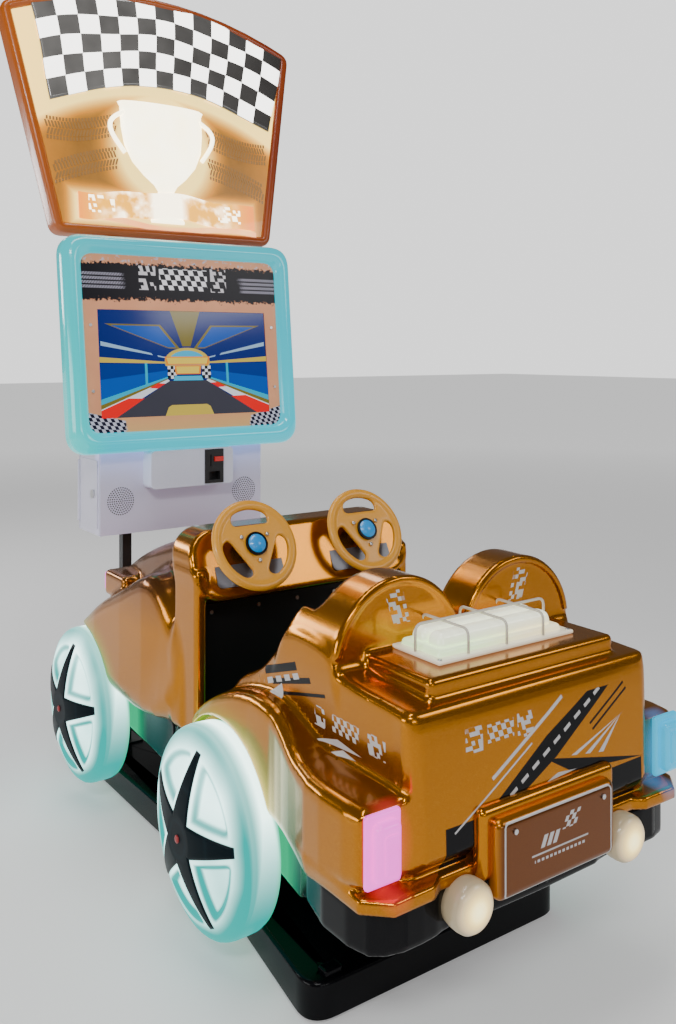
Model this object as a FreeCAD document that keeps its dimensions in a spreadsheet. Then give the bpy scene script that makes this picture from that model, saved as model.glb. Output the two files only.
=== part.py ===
"""Two-seat coin-operated racing cabinet: a rocking car on a plinth, facing a screen tower.

Frame: +Z up, +Y forward (the riders face +Y), +X to the riders' right, origin at the middle of
the footprint on the floor.  In the sheet every Y is measured from the plinth's rear edge, and
origin_y moves it to the origin.  Sizes are millimetres and degrees.
"""
import FreeCAD, Part
import math
import os
import re
from FreeCAD import Placement, Rotation, Vector

DIMS = {
    # frame
    "origin_y": 503.85,
    # plinth
    "base_rear_half": 287.0, "base_front_half": 212.0, "base_waist_y": 500.0, "base_len": 1215.0,
    "base_low": 8.0, "base_top": 68.0, "base_wall": 4.0, "base_side": 8.0, "base_round": 24.0,
    "rail_x": 165.0, "rail_wide": 40.0, "rail_top": 48.0, "rail_rear": 20.0,
    "foot_rad": 20.0, "stud_rad": 5.0,
    # tower
    "post_x": 132.0, "post_y": 1108.0, "post_side": 24.0, "post_wall": 2.0, "post_top": 1290.0,
    "flange_half": 34.0, "flange_thick": 6.0,
    "cab_half": 227.5, "cab_front": 1035.0, "cab_rear": 1181.0, "cab_low": 615.0, "cab_top": 872.0,
    "mon_half": 262.0, "mon_front": 1090.0, "mon_top": 1312.0, "sheet_wall": 2.0,
    "door_front": 1050.0, "door_rear": 1166.0, "door_low": 632.0, "door_high": 800.0,
    "door_thick": 3.0, "hinge_rad": 4.0, "lock_rad": 11.0,
    "coin_half": 115.0, "coin_front": 985.0, "coin_low": 727.0, "coin_high": 822.0,
    "acc_left": 33.0, "acc_right": 85.0, "acc_low": 731.0, "acc_high": 818.0, "acc_front": 981.0,
    "ret_low": 787.0, "ret_high": 799.0, "ret_left": 58.0, "ret_right": 83.0, "ret_proud": 5.0,
    "ret_travel": 3.0,
    "spk_x": 174.6, "spk_z": 697.6, "spk_rad": 39.0,
    # screen, on a plane that leans back
    "lean_screen": 6.76, "panel_y": 1001.0, "panel_z": 908.0,
    "ring_half": 322.0, "ring_low": -86.0, "ring_high": 456.0, "ring_open_half": 278.0,
    "ring_open_low": -42.0, "ring_open_high": 414.0, "ring_proud": 22.0, "ring_deep": 36.0,
    "lcd_half": 240.0, "lcd_high": 275.0, "lcd_thick": 14.0, "bezel_thick": 3.0,
    # marquee, on a plane that leans back
    "lean_marquee": 8.31, "mar_y": 1120.0, "mar_z": 1372.0, "mar_low_half": 309.0,
    "mar_top_half": 424.0, "mar_side": 586.0, "mar_peak": 680.0, "mar_deep": 56.0, "mar_wall": 3.0,
    # rocking drive
    "pivot_y": 430.0, "pivot_z": 120.0, "shaft_rad": 12.5, "bear_gap": 0.05, "bear_x": 140.0,
    "bear_wide": 30.0, "frame_x": 80.0, "frame_wide": 30.0, "frame_low": 165.0, "frame_top": 205.0,
    "frame_rear": -90.0, "frame_front": 980.0,
    "crank_y": 700.0, "crank_z": 105.0, "crank_throw": 16.0, "crank_rad": 28.0, "rod_top_z": 230.0,
    "rod_pin": 6.0,
    # car body
    "split_z": 300.0, "shell_wall": 5.0, "tub_half": 262.0, "bay_half": 238.0, "seat_z": 385.0,
    "floor_z": 213.0, "arch_x": 134.0, "arch_z": 574.0, "arch_rad": 132.0, "arch_rear": -20.0,
    "deck_half": 205.0, "deck_top": 592.0, "deck_rear": -195.0,
    "pod_half": 346.0, "pod_rear": -214.0, "fender_rear_half": 300.0, "fender_front_half": 283.0,
    "well_rad": 190.0, "well_rear_x": 271.0, "well_front_x": 227.0,
    "dash_half": 263.0, "dash_y": 437.0, "dash_crease": 600.0, "dash_tilt": 28.0,
    "kick_half": 240.0, "kick_low": 318.0, "kick_high": 560.0, "kick_thick": 3.0,
    "kick_y": 492.0,
    "skirt_half": 342.0, "skirt_rear": -232.0, "skirt_front": 1060.0,
    # steering
    "steer_x": 138.0, "steer_y": 430.0, "steer_z": 682.0, "steer_rad": 95.0, "steer_rim": 19.0,
    "steer_thick": 14.0, "steer_shaft_rad": 8.0, "plate_half": 78.0, "plate_up": 112.0,
    "button_rad": 19.0, "button_bezel": 24.0, "button_proud": 11.0, "button_travel": 3.0,
    # road wheels
    "wheel_rad": 180.0, "wheel_deep": 109.0, "wheel_dome": 45.0, "wheel_wall": 4.0, "wheel_z": 224.0,
    "wheel_rear_x": 383.0, "wheel_rear_y": 273.0, "wheel_front_x": 339.0, "wheel_front_y": 1008.0,
    "star_tip": 151.0, "star_waist": 27.0, "star_proud": 4.0, "star_turn": 11.0,
    # lamps and plate
    "tail_x": 310.0, "tail_half": 21.0, "tail_low": 346.0, "tail_high": 430.0, "tail_deep": 22.0,
    "tail_base": 6.0, "tail_margin": 12.0,
    "marker_x": 176.0, "marker_z": 281.0, "marker_rad": 42.0, "marker_deep": 33.0,
    "head_x": 214.0, "head_y": 968.0, "head_z": 520.0, "head_half": 26.0, "head_deep": 16.0,
    "bulk_half": 152.0, "bulk_rear": -155.0, "bulk_front": -24.0, "bulk_base": 5.0,
    "bulk_lens_half": 128.0, "bulk_lens_wide": 84.0, "bulk_lens_high": 32.0, "guard_rad": 2.2,
    "plate_x": 132.0, "plate_front": -264.0, "plate_low": 266.0, "plate_high": 388.0,
}

doc = FreeCAD.newDocument("racing_cabinet")
sheet = doc.addObject("Spreadsheet::Sheet", "dims")
for row, (alias, value) in enumerate(DIMS.items(), start=1):
    sheet.set(f"A{row}", alias)
    sheet.set(f"B{row}", str(value))
    sheet.setAlias(f"B{row}", alias)
doc.recompute()

PARTS = []
ALIASES = re.compile(r"\b(" + "|".join(sorted(DIMS, key=len, reverse=True)) + r")\b")


class Sizes:
    """Reads a driving dimension from the sheet by its alias."""

    def __getattr__(self, alias):
        return float(sheet.get(alias))


d = Sizes()


def formula(text):
    """An expression over the sheet's aliases, as FreeCAD writes it."""
    return ALIASES.sub(r"dims.\1", str(text))


def bind(obj, **formulas):
    for prop, text in formulas.items():
        obj.setExpression(prop.replace("__", "."), formula(text))


def keep(obj, label):
    """Marks an object as one of the sub-parts."""
    obj.Label = label
    PARTS.append(obj)
    return obj


def place(obj, x, y, z, turn=None):
    """Binds an object's place; y counts from the plinth's rear edge."""
    if turn:
        obj.Placement = Placement(Vector(), turn)
    bind(obj, Placement__Base__x=x, Placement__Base__y=f"{y} - origin_y", Placement__Base__z=z)
    return obj


def box(x, y, z, name="box"):
    """A box from three (low, high) pairs of formulas."""
    obj = doc.addObject("Part::Box", name)
    bind(obj, Length=f"({x[1]}) - ({x[0]})", Width=f"({y[1]}) - ({y[0]})",
         Height=f"({z[1]}) - ({z[0]})")
    return place(obj, f"({x[0]})", f"({y[0]})", f"({z[0]})")


TURNS = {
    "x": Rotation(Vector(0, 1, 0), 90),
    "y": Rotation(Vector(1, 0, 0), -90),
    "z": Rotation(),
}


def rod(axis, start, radius, length, name="rod"):
    """A cylinder along an axis from a start point given as formulas."""
    obj = doc.addObject("Part::Cylinder", name)
    bind(obj, Radius=radius, Height=length)
    return place(obj, *start, turn=TURNS[axis])


def fuse(pieces, name="fuse"):
    obj = doc.addObject("Part::MultiFuse", name)
    obj.Shapes = pieces
    return obj


def group(pieces, name="group"):
    obj = doc.addObject("Part::Compound", name)
    obj.Links = pieces
    return obj


def cut(base, tools, name="cut"):
    obj = doc.addObject("Part::Cut", name)
    obj.Base = base
    obj.Tool = tools[0] if len(tools) == 1 else fuse(tools)
    return obj


def rounded(base, radius, select, name="rounded"):
    """Fillets the edges of base for which select(edge) is true."""
    doc.recompute()
    obj = doc.addObject("Part::Fillet", name)
    obj.Base = base
    edges = [i for i, edge in enumerate(base.Shape.Edges, start=1) if select(edge)]
    obj.Edges = [(i, radius, radius) for i in edges]
    return obj


def along(axis):
    """Selects straight edges parallel to an axis."""
    unit = {"x": Vector(1, 0, 0), "y": Vector(0, 1, 0), "z": Vector(0, 0, 1)}[axis]

    def test(edge):
        if not isinstance(edge.Curve, Part.Line):
            return False
        return abs(edge.Curve.Direction.dot(unit)) > 0.999
    return test


def both(make):
    """The left and right copies of a piece, made by make(side)."""
    return [make(-1), make(1)]


PLANES = {"XY": "XY_Plane", "XZ": "XZ_Plane", "YZ": "YZ_Plane"}


def new_body(label, y="0", x="0", z="0", turn=None):
    body = doc.addObject("PartDesign::Body", label)
    keep(body, label)
    if turn:
        body.Placement = Placement(Vector(), turn)
    bind(body, Placement__Base__x=x, Placement__Base__y=f"({y}) - origin_y", Placement__Base__z=z)
    return body


def new_sketch(body, plane, offset="0"):
    sketch = body.newObject("Sketcher::SketchObject", body.Label + "_sketch")
    role = PLANES[plane]
    origin = [f for f in body.Origin.OriginFeatures if f.Role == role][0]
    sketch.AttachmentSupport = [(origin, "")]
    sketch.MapMode = "FlatFace"
    bind(sketch, AttachmentOffset__Base__z=offset)
    return sketch


def number(text):
    value = sheet.evalExpression(formula(text))
    return float(getattr(value, "Value", value))


def pin(sketch, geometry, point, x, y):
    """Dimensions one sketch point from the sketch's origin, bound to the sheet."""
    import Sketcher
    for kind, text in (("DistanceX", x), ("DistanceY", y)):
        index = sketch.addConstraint(
            Sketcher.Constraint(kind, -1, 1, geometry, point, number(text)))
        sketch.setExpression(f"Constraints[{index}]", formula(text))


def outline(sketch, points):
    """A closed run of lines through points given as pairs of formulas."""
    import Sketcher
    spots = [Vector(number(x), number(y), 0) for x, y in points]
    ends = list(zip(spots, spots[1:] + spots[:1]))
    lines = [sketch.addGeometry(Part.LineSegment(a, b), False) for a, b in ends]
    for here, after in zip(lines, lines[1:] + lines[:1]):
        sketch.addConstraint(Sketcher.Constraint("Coincident", here, 2, after, 1))
    for line, (x, y) in zip(lines, points):
        pin(sketch, line, 1, x, y)


def circle(sketch, x, y, radius):
    import Sketcher
    middle = Vector(number(x), number(y), 0)
    ring = sketch.addGeometry(Part.Circle(middle, Vector(0, 0, 1), number(radius)), False)
    pin(sketch, ring, 3, x, y)
    index = sketch.addConstraint(Sketcher.Constraint("Radius", ring, number(radius)))
    sketch.setExpression(f"Constraints[{index}]", formula(radius))


def rectangle(sketch, x, y):
    outline(sketch, [(x[0], y[0]), (x[1], y[0]), (x[1], y[1]), (x[0], y[1])])


def pad(body, sketch, length):
    feature = body.newObject("PartDesign::Pad", "pad")
    feature.Profile = sketch
    bind(feature, Length=length)
    return feature


def pocket(body, sketch, length):
    """Cuts both ways from the sketch, so that its direction can't miss the solid."""
    doc.recompute()
    before = body.Shape.Volume
    feature = body.newObject("PartDesign::Pocket", "pocket")
    feature.Profile = sketch
    bind(feature, Length=length)
    feature.Midplane = True
    doc.recompute()
    if body.Shape.Volume >= before:
        raise RuntimeError(body.Label + ": the pocket cuts nothing")
    return feature


def revolve(body, sketch):
    feature = body.newObject("PartDesign::Revolution", "revolution")
    feature.Profile = sketch
    feature.ReferenceAxis = (sketch, ["H_Axis"])
    feature.Angle = 360.0
    return feature


def soften(body, radius, select):
    """Fillets the edges of the body's tip for which select(edge) is true."""
    doc.recompute()
    tip = body.Tip
    names = [f"Edge{i}" for i, e in enumerate(tip.Shape.Edges, start=1) if select(e)]
    feature = body.newObject("PartDesign::Fillet", "fillet")
    feature.Base = (tip, names)
    feature.Radius = radius
    return feature


def shape_part(label, shape, placement=None):
    """A sub-part whose shape is worked out from the sheet's values in code."""
    obj = doc.addObject("Part::Feature", label)
    obj.Shape = shape
    obj.Placement = placement or Placement(Vector(0, -d.origin_y, 0), Rotation())
    return keep(obj, label)


def face_of(points):
    return Part.Face(Part.makePolygon(points + points[:1]))


def side_prism(profile, low_x, high_x, inset=0.0):
    """A prism along X from a (y, z) profile, optionally shrunk all round."""
    face = face_of([Vector(low_x, y, z) for y, z in profile])
    if inset:
        face = face.makeOffset2D(-inset, 2)
    return face.extrude(Vector(high_x - low_x, 0, 0))


def plan_prism(plan, low_z, high_z, inset=0.0):
    """A prism along Z from an (x, y) plan, optionally shrunk all round."""
    face = face_of([Vector(x, y, low_z) for x, y in plan])
    if inset:
        face = face.makeOffset2D(-inset, 2)
    return face.extrude(Vector(0, 0, high_z - low_z))


def mirror_x(shape):
    return shape.mirror(Vector(), Vector(1, 0, 0))


def union(shapes):
    return shapes[0].multiFuse(shapes[1:]).removeSplitter()


# ---------------------------------------------------------------- plinth

def make_base_shell():
    body = new_body("base_shell")
    sketch = new_sketch(body, "XY", "base_low")
    outline(sketch, base_plan("0"))
    pad(body, sketch, "base_top - base_low")
    soften(body, d.base_round, along("z"))
    hollow = new_sketch(body, "XY", "base_low")
    outline(hollow, base_plan("base_side"))
    pocket(body, hollow, "2 * (base_top - base_low - base_wall)")
    posts = new_sketch(body, "XY", "base_top")
    for side in (-1, 1):
        half = "(post_side / 2 + 0.5)"
        rectangle(posts, (f"{side} * post_x - {half}", f"{side} * post_x + {half}"),
                  (f"post_y - {half}", f"post_y + {half}"))
    pocket(body, posts, "4 * base_wall")


def base_plan(inset):
    rear = f"(base_rear_half - {inset})"
    front = f"(base_front_half - {inset})"
    return [(f"-{rear}", f"0 + {inset}"), (rear, f"0 + {inset}"), (front, "base_waist_y"),
            (front, f"base_len - {inset}"), (f"-{front}", f"base_len - {inset}"),
            (f"-{front}", "base_waist_y")]


CROSS_Y = ("rail_rear", "pivot_y - rail_wide / 2", "crank_y - 20", "post_y - rail_wide / 2")


def make_base_frame():
    rails = both(lambda side: box(
        (f"{side} * rail_x - rail_wide / 2", f"{side} * rail_x + rail_wide / 2"),
        ("rail_rear", "base_len - 20"), ("base_low", "rail_top")))
    across = [box(("-rail_x", "rail_x"), (y, f"{y} + rail_wide"), ("base_low", "rail_top"))
              for y in CROSS_Y]
    keep(fuse(rails + across), "base_frame")


def make_levelling_feet():
    feet = []
    for side in (-1, 1):
        for y in ("60", "base_waist_y + 60", "base_len - 60"):
            at = (f"{side} * rail_x", y)
            pad_disc = rod("z", (*at, "0"), "foot_rad", "base_low")
            feet.append(pad_disc)
    keep(group(feet), "levelling_feet")


# ---------------------------------------------------------------- tower

def make_posts():
    posts = []
    for side in (-1, 1):
        def square(half, low, high, side=side):
            return box((f"{side} * post_x - {half}", f"{side} * post_x + {half}"),
                       (f"post_y - {half}", f"post_y + {half}"), (low, high))
        tube = square("post_side / 2", "rail_top", "post_top")
        flange = square("flange_half", "base_top", "base_top + flange_thick")
        inside = square("(post_side / 2 - post_wall)", "rail_top - 1", "post_top + 1")
        posts.append(cut(fuse([tube, flange]), [inside]))
    keep(group(posts), "stand_posts")


def make_cabinet():
    half = "cab_half"
    lower = box((f"-{half}", half), ("cab_front", "cab_rear"), ("cab_low", "cab_top"))
    upper = box(("-mon_half", "mon_half"), ("mon_front", "cab_rear"), ("cab_top", "mon_top"))
    wall = "sheet_wall"
    lower_in = box((f"-{half} + {wall}", f"{half} - {wall}"),
                   (f"cab_front + {wall}", f"cab_rear - {wall}"),
                   (f"cab_low + {wall}", f"cab_top + 2 * {wall}"))
    upper_in = box((f"-mon_half + {wall}", f"mon_half - {wall}"),
                   ("mon_front - 10", f"cab_rear - {wall}"),
                   (f"cab_top + {wall}", f"mon_top - {wall}"))
    doorway = box((f"-{half} - 1", f"-{half} + 5"), ("door_front + 8", "door_rear - 8"),
                  ("door_low + 8", "door_high - 8"))
    coin_way = box(("-coin_half + 12", "coin_half - 12"), ("cab_front - 1", "cab_front + 5"),
                   ("coin_low + 2", "coin_high - 2"))
    post_ways = both(lambda side: box(
        (f"{side} * post_x - post_side / 2 - 0.5", f"{side} * post_x + post_side / 2 + 0.5"),
        ("post_y - post_side / 2 - 0.5", "post_y + post_side / 2 + 0.5"),
        ("cab_low - 1", "cab_low + 5")))
    inlet_way = box(("80", "130"), ("cab_rear - 5", "cab_rear + 1"), ("640", "668"))
    keep(cut(fuse([lower, upper]), [lower_in, upper_in, doorway, coin_way, inlet_way] + post_ways),
         "monitor_cabinet")


def make_service_door():
    leaf = box(("-cab_half - door_thick", "-cab_half - 0.3"), ("door_front", "door_rear"),
               ("door_low", "door_high"))
    barrel = rod("z", ("-cab_half - 4.5", "door_rear + 3", "door_low + 6"), "hinge_rad",
                 "door_high - door_low - 12")
    lock_way = rod("x", ("-cab_half - door_thick - 1", "door_front + 24",
                         "(door_low + door_high) / 2"), "6.3", "door_thick + 4")
    keep(cut(fuse([leaf, barrel]), [lock_way]), "service_door")
    face = rod("x", ("-cab_half - door_thick - 4.1", "door_front + 24", "(door_low + door_high) / 2"),
               "lock_rad", "4")
    cam = box(("-cab_half + 4", "-cab_half + 7"), ("door_front + 17", "door_front + 31"),
              ("(door_low + door_high) / 2 - 7", "(door_low + door_high) / 2 + 26"))
    stem = rod("x", ("-cab_half - door_thick", "door_front + 24", "(door_low + door_high) / 2"),
               "6", "door_thick + 5")
    keep(fuse([face, cam, stem]), "door_lock")


def make_coin_unit():
    outer = box(("-coin_half", "coin_half"), ("coin_front", "cab_front"),
                ("coin_low", "coin_high"))
    inner = box(("-coin_half + 3", "coin_half - 3"), ("coin_front + 3", "cab_front + 1"),
                ("coin_low + 3", "coin_high - 3"))
    window = box(("acc_left - 0.5", "acc_right + 0.5"), ("coin_front - 1", "coin_front + 5"),
                 ("acc_low - 0.5", "acc_high + 0.5"))
    keep(cut(rounded(outer, 11.0, along("y")), [inner, window]), "coin_housing")
    block = box(("acc_left", "acc_right"), ("acc_front", "cab_front + 30"),
                ("acc_low", "acc_high"))
    slot = box(("acc_left + 14", "acc_left + 17"), ("acc_front - 1", "acc_front + 30"),
               ("acc_high - 44", "acc_high - 14"))
    tray = box(("acc_left + 10", "acc_right - 10"), ("acc_front - 1", "acc_front + 24"),
               ("acc_low + 8", "acc_low + 30"))
    way = box(("ret_left - 0.4", "ret_right + 0.4"), ("acc_front - 1", "acc_front + 16"),
              ("ret_low - 0.4", "ret_high + 0.4"))
    keep(cut(block, [slot, tray, way]), "coin_acceptor")
    keep(box(("ret_left", "ret_right"), ("acc_front - ret_proud", "acc_front + 10"),
             ("ret_low", "ret_high")), "coin_return_button")
    chute = box(("acc_left + 6", "acc_right - 6"), ("cab_front + 31", "cab_front + 70"),
                ("706", "acc_high - 10"))
    throat = box(("acc_left + 9", "acc_right - 9"), ("cab_front + 34", "cab_front + 67"),
                 ("700", "acc_high - 4"))
    keep(cut(chute, [throat]), "coin_chute")
    money = box(("-90", "100"), ("cab_front + 22", "cab_rear - 40"), ("cab_low + 4", "700"))
    space = box(("-88", "98"), ("cab_front + 24", "cab_rear - 42"), ("cab_low + 6", "701"))
    keep(cut(money, [space]), "cash_box")


def make_speakers():
    drivers = []
    for side in (-1, 1):
        x = f"{side} * spk_x"
        rim = rod("y", (x, "cab_front + sheet_wall", "spk_z"), "spk_rad", "4")
        basket = rod("y", (x, "cab_front + sheet_wall + 4", "spk_z"), "spk_rad * 0.72", "18")
        magnet = rod("y", (x, "cab_front + sheet_wall + 22", "spk_z"), "spk_rad * 0.5", "12")
        drivers.append(fuse([rim, basket, magnet]))
    keep(group(drivers), "speaker_drivers")


def make_electrics():
    keep(box(("-170", "90"), ("cab_rear - 12", "cab_rear - 2.5"), ("960", "1140")), "game_board")
    keep(box(("120", "225"), ("cab_rear - 50", "cab_rear - 2.5"), ("930", "1090")),
         "power_supply")
    plug_face = box(("76", "134"), ("cab_rear", "cab_rear + 2"), ("636", "672"))
    socket = box(("80.5", "129.5"), ("cab_rear - 24", "cab_rear"), ("640.5", "667.5"))
    well = box(("92", "118"), ("cab_rear - 16", "cab_rear + 3"), ("646", "662"))
    keep(cut(fuse([plug_face, socket]), [well]), "power_inlet")


def screen_place():
    """Local X right, Y out of the back, Z up the leaning panel, from the window's lower edge."""
    turn = Rotation(Vector(1, 0, 0), -d.lean_screen)
    return Placement(Vector(0, d.panel_y - d.origin_y, d.panel_z), turn)


def rounded_slab(half, low, high, front, back, radius):
    slab = Part.makeBox(2 * half, back - front, high - low, Vector(-half, front, low))
    edges = [e for e in slab.Edges if along("y")(e)]
    return slab.makeFillet(radius, edges)


def make_screen():
    ring = rounded_slab(d.ring_half, d.ring_low, d.ring_high, -d.ring_proud, d.ring_deep, 52)
    edges = [e for e in ring.Edges if abs(e.BoundBox.YMin + d.ring_proud) < 0.01
             and e.BoundBox.YLength < 0.01]
    ring = ring.makeFillet(14, edges)
    opening = rounded_slab(d.ring_open_half, d.ring_open_low, d.ring_open_high, -60, 80, 30)
    notch = Part.makeBox(2 * d.coin_half + 6, 140, 22,
                         Vector(-d.coin_half - 3, -60, d.ring_low - 1))
    shape_part("screen_frame", ring.cut(opening).cut(notch), screen_place())
    bezel = rounded_slab(d.ring_open_half - 0.5, d.ring_open_low + 0.5, d.ring_open_high - 0.5,
                         0, d.bezel_thick, 30)
    window = Part.makeBox(2 * d.lcd_half - 6, 20, d.lcd_high - 6,
                          Vector(3 - d.lcd_half, -5, 0))
    shape_part("bezel_panel", bezel.cut(window), screen_place())
    lcd = Part.makeBox(2 * d.lcd_half, d.lcd_thick, d.lcd_high,
                       Vector(-d.lcd_half, d.bezel_thick, -3))
    shape_part("lcd_panel", lcd, screen_place())
    back = d.bezel_thick + d.lcd_thick
    plate = Part.makeBox(200, 4, 200, Vector(-100, back, 35))
    arm = Part.makeBox(60, 24, 140, Vector(-30, back + 4, 65))
    shape_part("lcd_bracket", union([plate, arm]), screen_place())
    lights = rounded_slab(d.ring_open_half + 16, d.ring_open_low - 16, d.ring_open_high + 16,
                          d.ring_deep + 0.5, d.ring_deep + 3, 40)
    inner = rounded_slab(d.ring_open_half + 2, d.ring_open_low - 2, d.ring_open_high + 2,
                         d.ring_deep - 5, d.ring_deep + 8, 30)
    shape_part("screen_led_strip", lights.cut(inner), screen_place())


def marquee_solid(inset, front, back):
    """The marquee's outline, a flared panel with an arched top, as a slab."""
    low, top = d.mar_low_half - inset, d.mar_top_half - inset
    side, peak = d.mar_side - inset, d.mar_peak - inset
    corners = [Vector(-low, front, inset), Vector(low, front, inset), Vector(top, front, side),
               Vector(-top, front, side)]
    arch = Part.Arc(corners[2], Vector(0, front, peak), corners[3]).toShape()
    lines = [Part.makeLine(corners[i], corners[j]) for i, j in ((0, 1), (1, 2))]
    wire = Part.Wire(lines + [arch, Part.makeLine(corners[3], corners[0])])
    slab = Part.Face(wire).extrude(Vector(0, back - front, 0))
    edges = [e for e in slab.Edges if along("y")(e)]
    return slab.makeFillet(max(26 - inset, 8), edges)


def marquee_place():
    turn = Rotation(Vector(1, 0, 0), -d.lean_marquee)
    return Placement(Vector(0, d.mar_y - d.origin_y, d.mar_z), turn)


def make_marquee():
    wall = d.mar_wall
    tray = marquee_solid(0, 0, d.mar_deep).cut(marquee_solid(wall, -1, d.mar_deep - wall))
    shape_part("marquee_housing", tray, marquee_place())
    shape_part("marquee_face", marquee_solid(wall + 0.4, 4, 7), marquee_place())
    shape_part("marquee_light_board", marquee_solid(30, d.mar_deep - 14, d.mar_deep - wall - 0.2),
               marquee_place())
    lean = math.tan(math.radians(d.lean_marquee))
    back_y = d.mar_y + d.mar_deep / math.cos(math.radians(d.lean_marquee)) + 0.3
    bend_z = d.mar_z + (d.cab_rear + 0.2 - back_y) / lean
    top_z = d.mar_z + 330
    top_y = back_y + (top_z - d.mar_z) * lean
    bar = [(d.cab_rear + 0.2, 1180), (d.cab_rear + 0.2, max(bend_z, d.mon_top)), (top_y, top_z),
           (top_y + 6, top_z), (d.cab_rear + 6.2, max(bend_z, d.mon_top)),
           (d.cab_rear + 6.2, 1180)]
    bars = [side_prism(bar, x - 18, x + 18) for x in (-d.post_x, d.post_x)]
    shape_part("marquee_bracket", Part.makeCompound(bars))


def make_panel_screws():
    heads = []
    for x in (-1, 1):
        for z in (67, 230):
            heads.append(Part.makeCylinder(4, 2, Vector(x * 256, -2, z), Vector(0, 1, 0)))
    shape_part("panel_screws", Part.makeCompound(heads), screen_place())


# ---------------------------------------------------------------- rocking drive

def make_bearings():
    blocks = []
    for side in (-1, 1):
        x = (f"{side} * (bear_x + bear_wide / 2) - bear_wide / 2",
             f"{side} * (bear_x + bear_wide / 2) + bear_wide / 2")
        foot = box(x, ("pivot_y - 48", "pivot_y + 48"), ("base_top", "base_top + 14"))
        house = box(x, ("pivot_y - 27", "pivot_y + 27"), ("base_top", "pivot_z"))
        crown = rod("x", (x[0], "pivot_y", "pivot_z"), "27", "bear_wide")
        bore = rod("x", (x[0] + " - 1", "pivot_y", "pivot_z"), "shaft_rad + bear_gap",
                   "bear_wide + 2")
        blocks.append(cut(fuse([foot, house, crown]), [bore]))
    keep(group(blocks), "pivot_bearings")
    keep(rod("x", ("-bear_x - bear_wide - 3", "pivot_y", "pivot_z"), "shaft_rad",
             "2 * (bear_x + bear_wide + 3)"), "pivot_shaft")


def make_rocker_frame():
    pieces = both(lambda side: box(
        (f"{side} * (frame_x + frame_wide / 2) - frame_wide / 2",
         f"{side} * (frame_x + frame_wide / 2) + frame_wide / 2"),
        ("frame_rear", "frame_front"), ("frame_low", "frame_top")))
    for y in ("frame_rear", "pivot_y - 20", "640", "frame_front - 40"):
        pieces.append(box(("-frame_x - 10", "frame_x + 10"), (y, f"{y} + 40"),
                          ("frame_low", "frame_top")))
    for side in (-1, 1):
        lug = (f"{side} * (frame_x + frame_wide / 2) - 10",
               f"{side} * (frame_x + frame_wide / 2) + 10")
        pieces.append(box(lug, ("pivot_y - 26", "pivot_y + 26"), ("pivot_z", "frame_low + 5")))
        pieces.append(rod("x", (lug[0], "pivot_y", "pivot_z"), "26", "20"))
        clevis = (f"{side} * 12 - 4", f"{side} * 12 + 4")
        pieces.append(box(clevis, ("655", "crank_y + crank_throw + 16"),
                          ("frame_top - 10", "rod_top_z + 14")))
    hole = rod("x", ("-frame_x - frame_wide", "pivot_y", "pivot_z"), "shaft_rad + 0.02",
               "2 * (frame_x + frame_wide)")
    frame = cut(fuse(pieces), [hole])
    clevis_pin = rod("x", ("-16", "crank_y + crank_throw", "rod_top_z"), "rod_pin", "32")
    keep(fuse([frame, clevis_pin]), "rocker_frame")


def make_drive():
    gearbox = box(("36", "120"), ("crank_y - 60", "crank_y + 60"), ("base_top", "138"))
    motor = rod("x", ("119", "crank_y", "crank_z"), "33", "88")
    output = rod("x", ("31", "crank_y", "crank_z"), "9", "8")
    keep(fuse([gearbox, motor, output]), "gear_motor")
    disc = rod("x", ("20", "crank_y", "crank_z"), "crank_rad", "10.5")
    crank_pin = rod("x", ("7", "crank_y + crank_throw", "crank_z"), "rod_pin", "14")
    keep(fuse([disc, crank_pin]), "crank")
    y = "crank_y + crank_throw"
    eyes = [rod("x", ("-6", y, z), "14", "12") for z in ("crank_z", "rod_top_z")]
    shank = box(("-5", "5"), (f"{y} - 7", f"{y} + 7"), ("crank_z", "rod_top_z"))
    bores = [rod("x", ("-7", y, z), "rod_pin + 0.05", "14") for z in ("crank_z", "rod_top_z")]
    keep(cut(fuse(eyes + [shank]), bores), "connecting_rod")


# ---------------------------------------------------------------- car body

def tub_profile(low):
    """Side view of the boot, the shoulder and the cut-down entry, rear to front."""
    return [(-225, low), (-225, 545), (-208, 560), (-20, 573), (-20, 600), (96, 608), (138, 576),
            (172, 543), (210, 518), (262, 490), (296, 462), (316, 410), (330, 345), (338, low)]


def rear_fender_crest(low):
    """Side view of the hump over the rear wheel, running back into the lamp pod."""
    return [(437, low), (436, 316), (424, 350), (402, 384), (366, 412), (320, 438), (270, 462),
            (215, 480), (150, 489), (95, 484), (45, 466), (5, 450), (-40, 444), (d.pod_rear, 444),
            (d.pod_rear, low)]


def rear_fender_plan(side):
    outer, pod = d.fender_rear_half, d.pod_half
    points = [(240, d.pod_rear), (pod - 12, d.pod_rear), (pod, d.pod_rear + 12), (pod, -90),
              (pod - 16, -20), (outer + 8, 60), (outer, 110), (outer, 380), (outer - 15, 437),
              (240, 437)]
    return [(side * x, y) for x, y in points]


def front_fender_crest(low):
    """Side view of the front wing: low over the nose, rising to the dash, then steeply down."""
    return [(1186, low), (1180, 340), (1130, 378), (1030, 428), (930, 486), (810, 537),
            (700, 585), (650, 600), (604, 588), (560, 545), (507, 473), (486, 392), (481, 334),
            (480, low)]


def front_fender_plan(side):
    outer = d.fender_front_half
    points = [(244, 480), (262, 480), (268, 560), (outer, 700), (outer, 1000), (262, 1120),
              (225, 1186), (150, 1186), (150, 620), (244, 560)]
    return [(side * x, y) for x, y in points]


def wheel_well(side, inner_x, axle_y, inset):
    """The drum of space round a road wheel, grown by the wall for the shell's inside."""
    start = inner_x - inset
    return Part.makeCylinder(d.well_rad + inset, 500, Vector(side * start, axle_y, d.wheel_z),
                             Vector(side, 0, 0))


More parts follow.
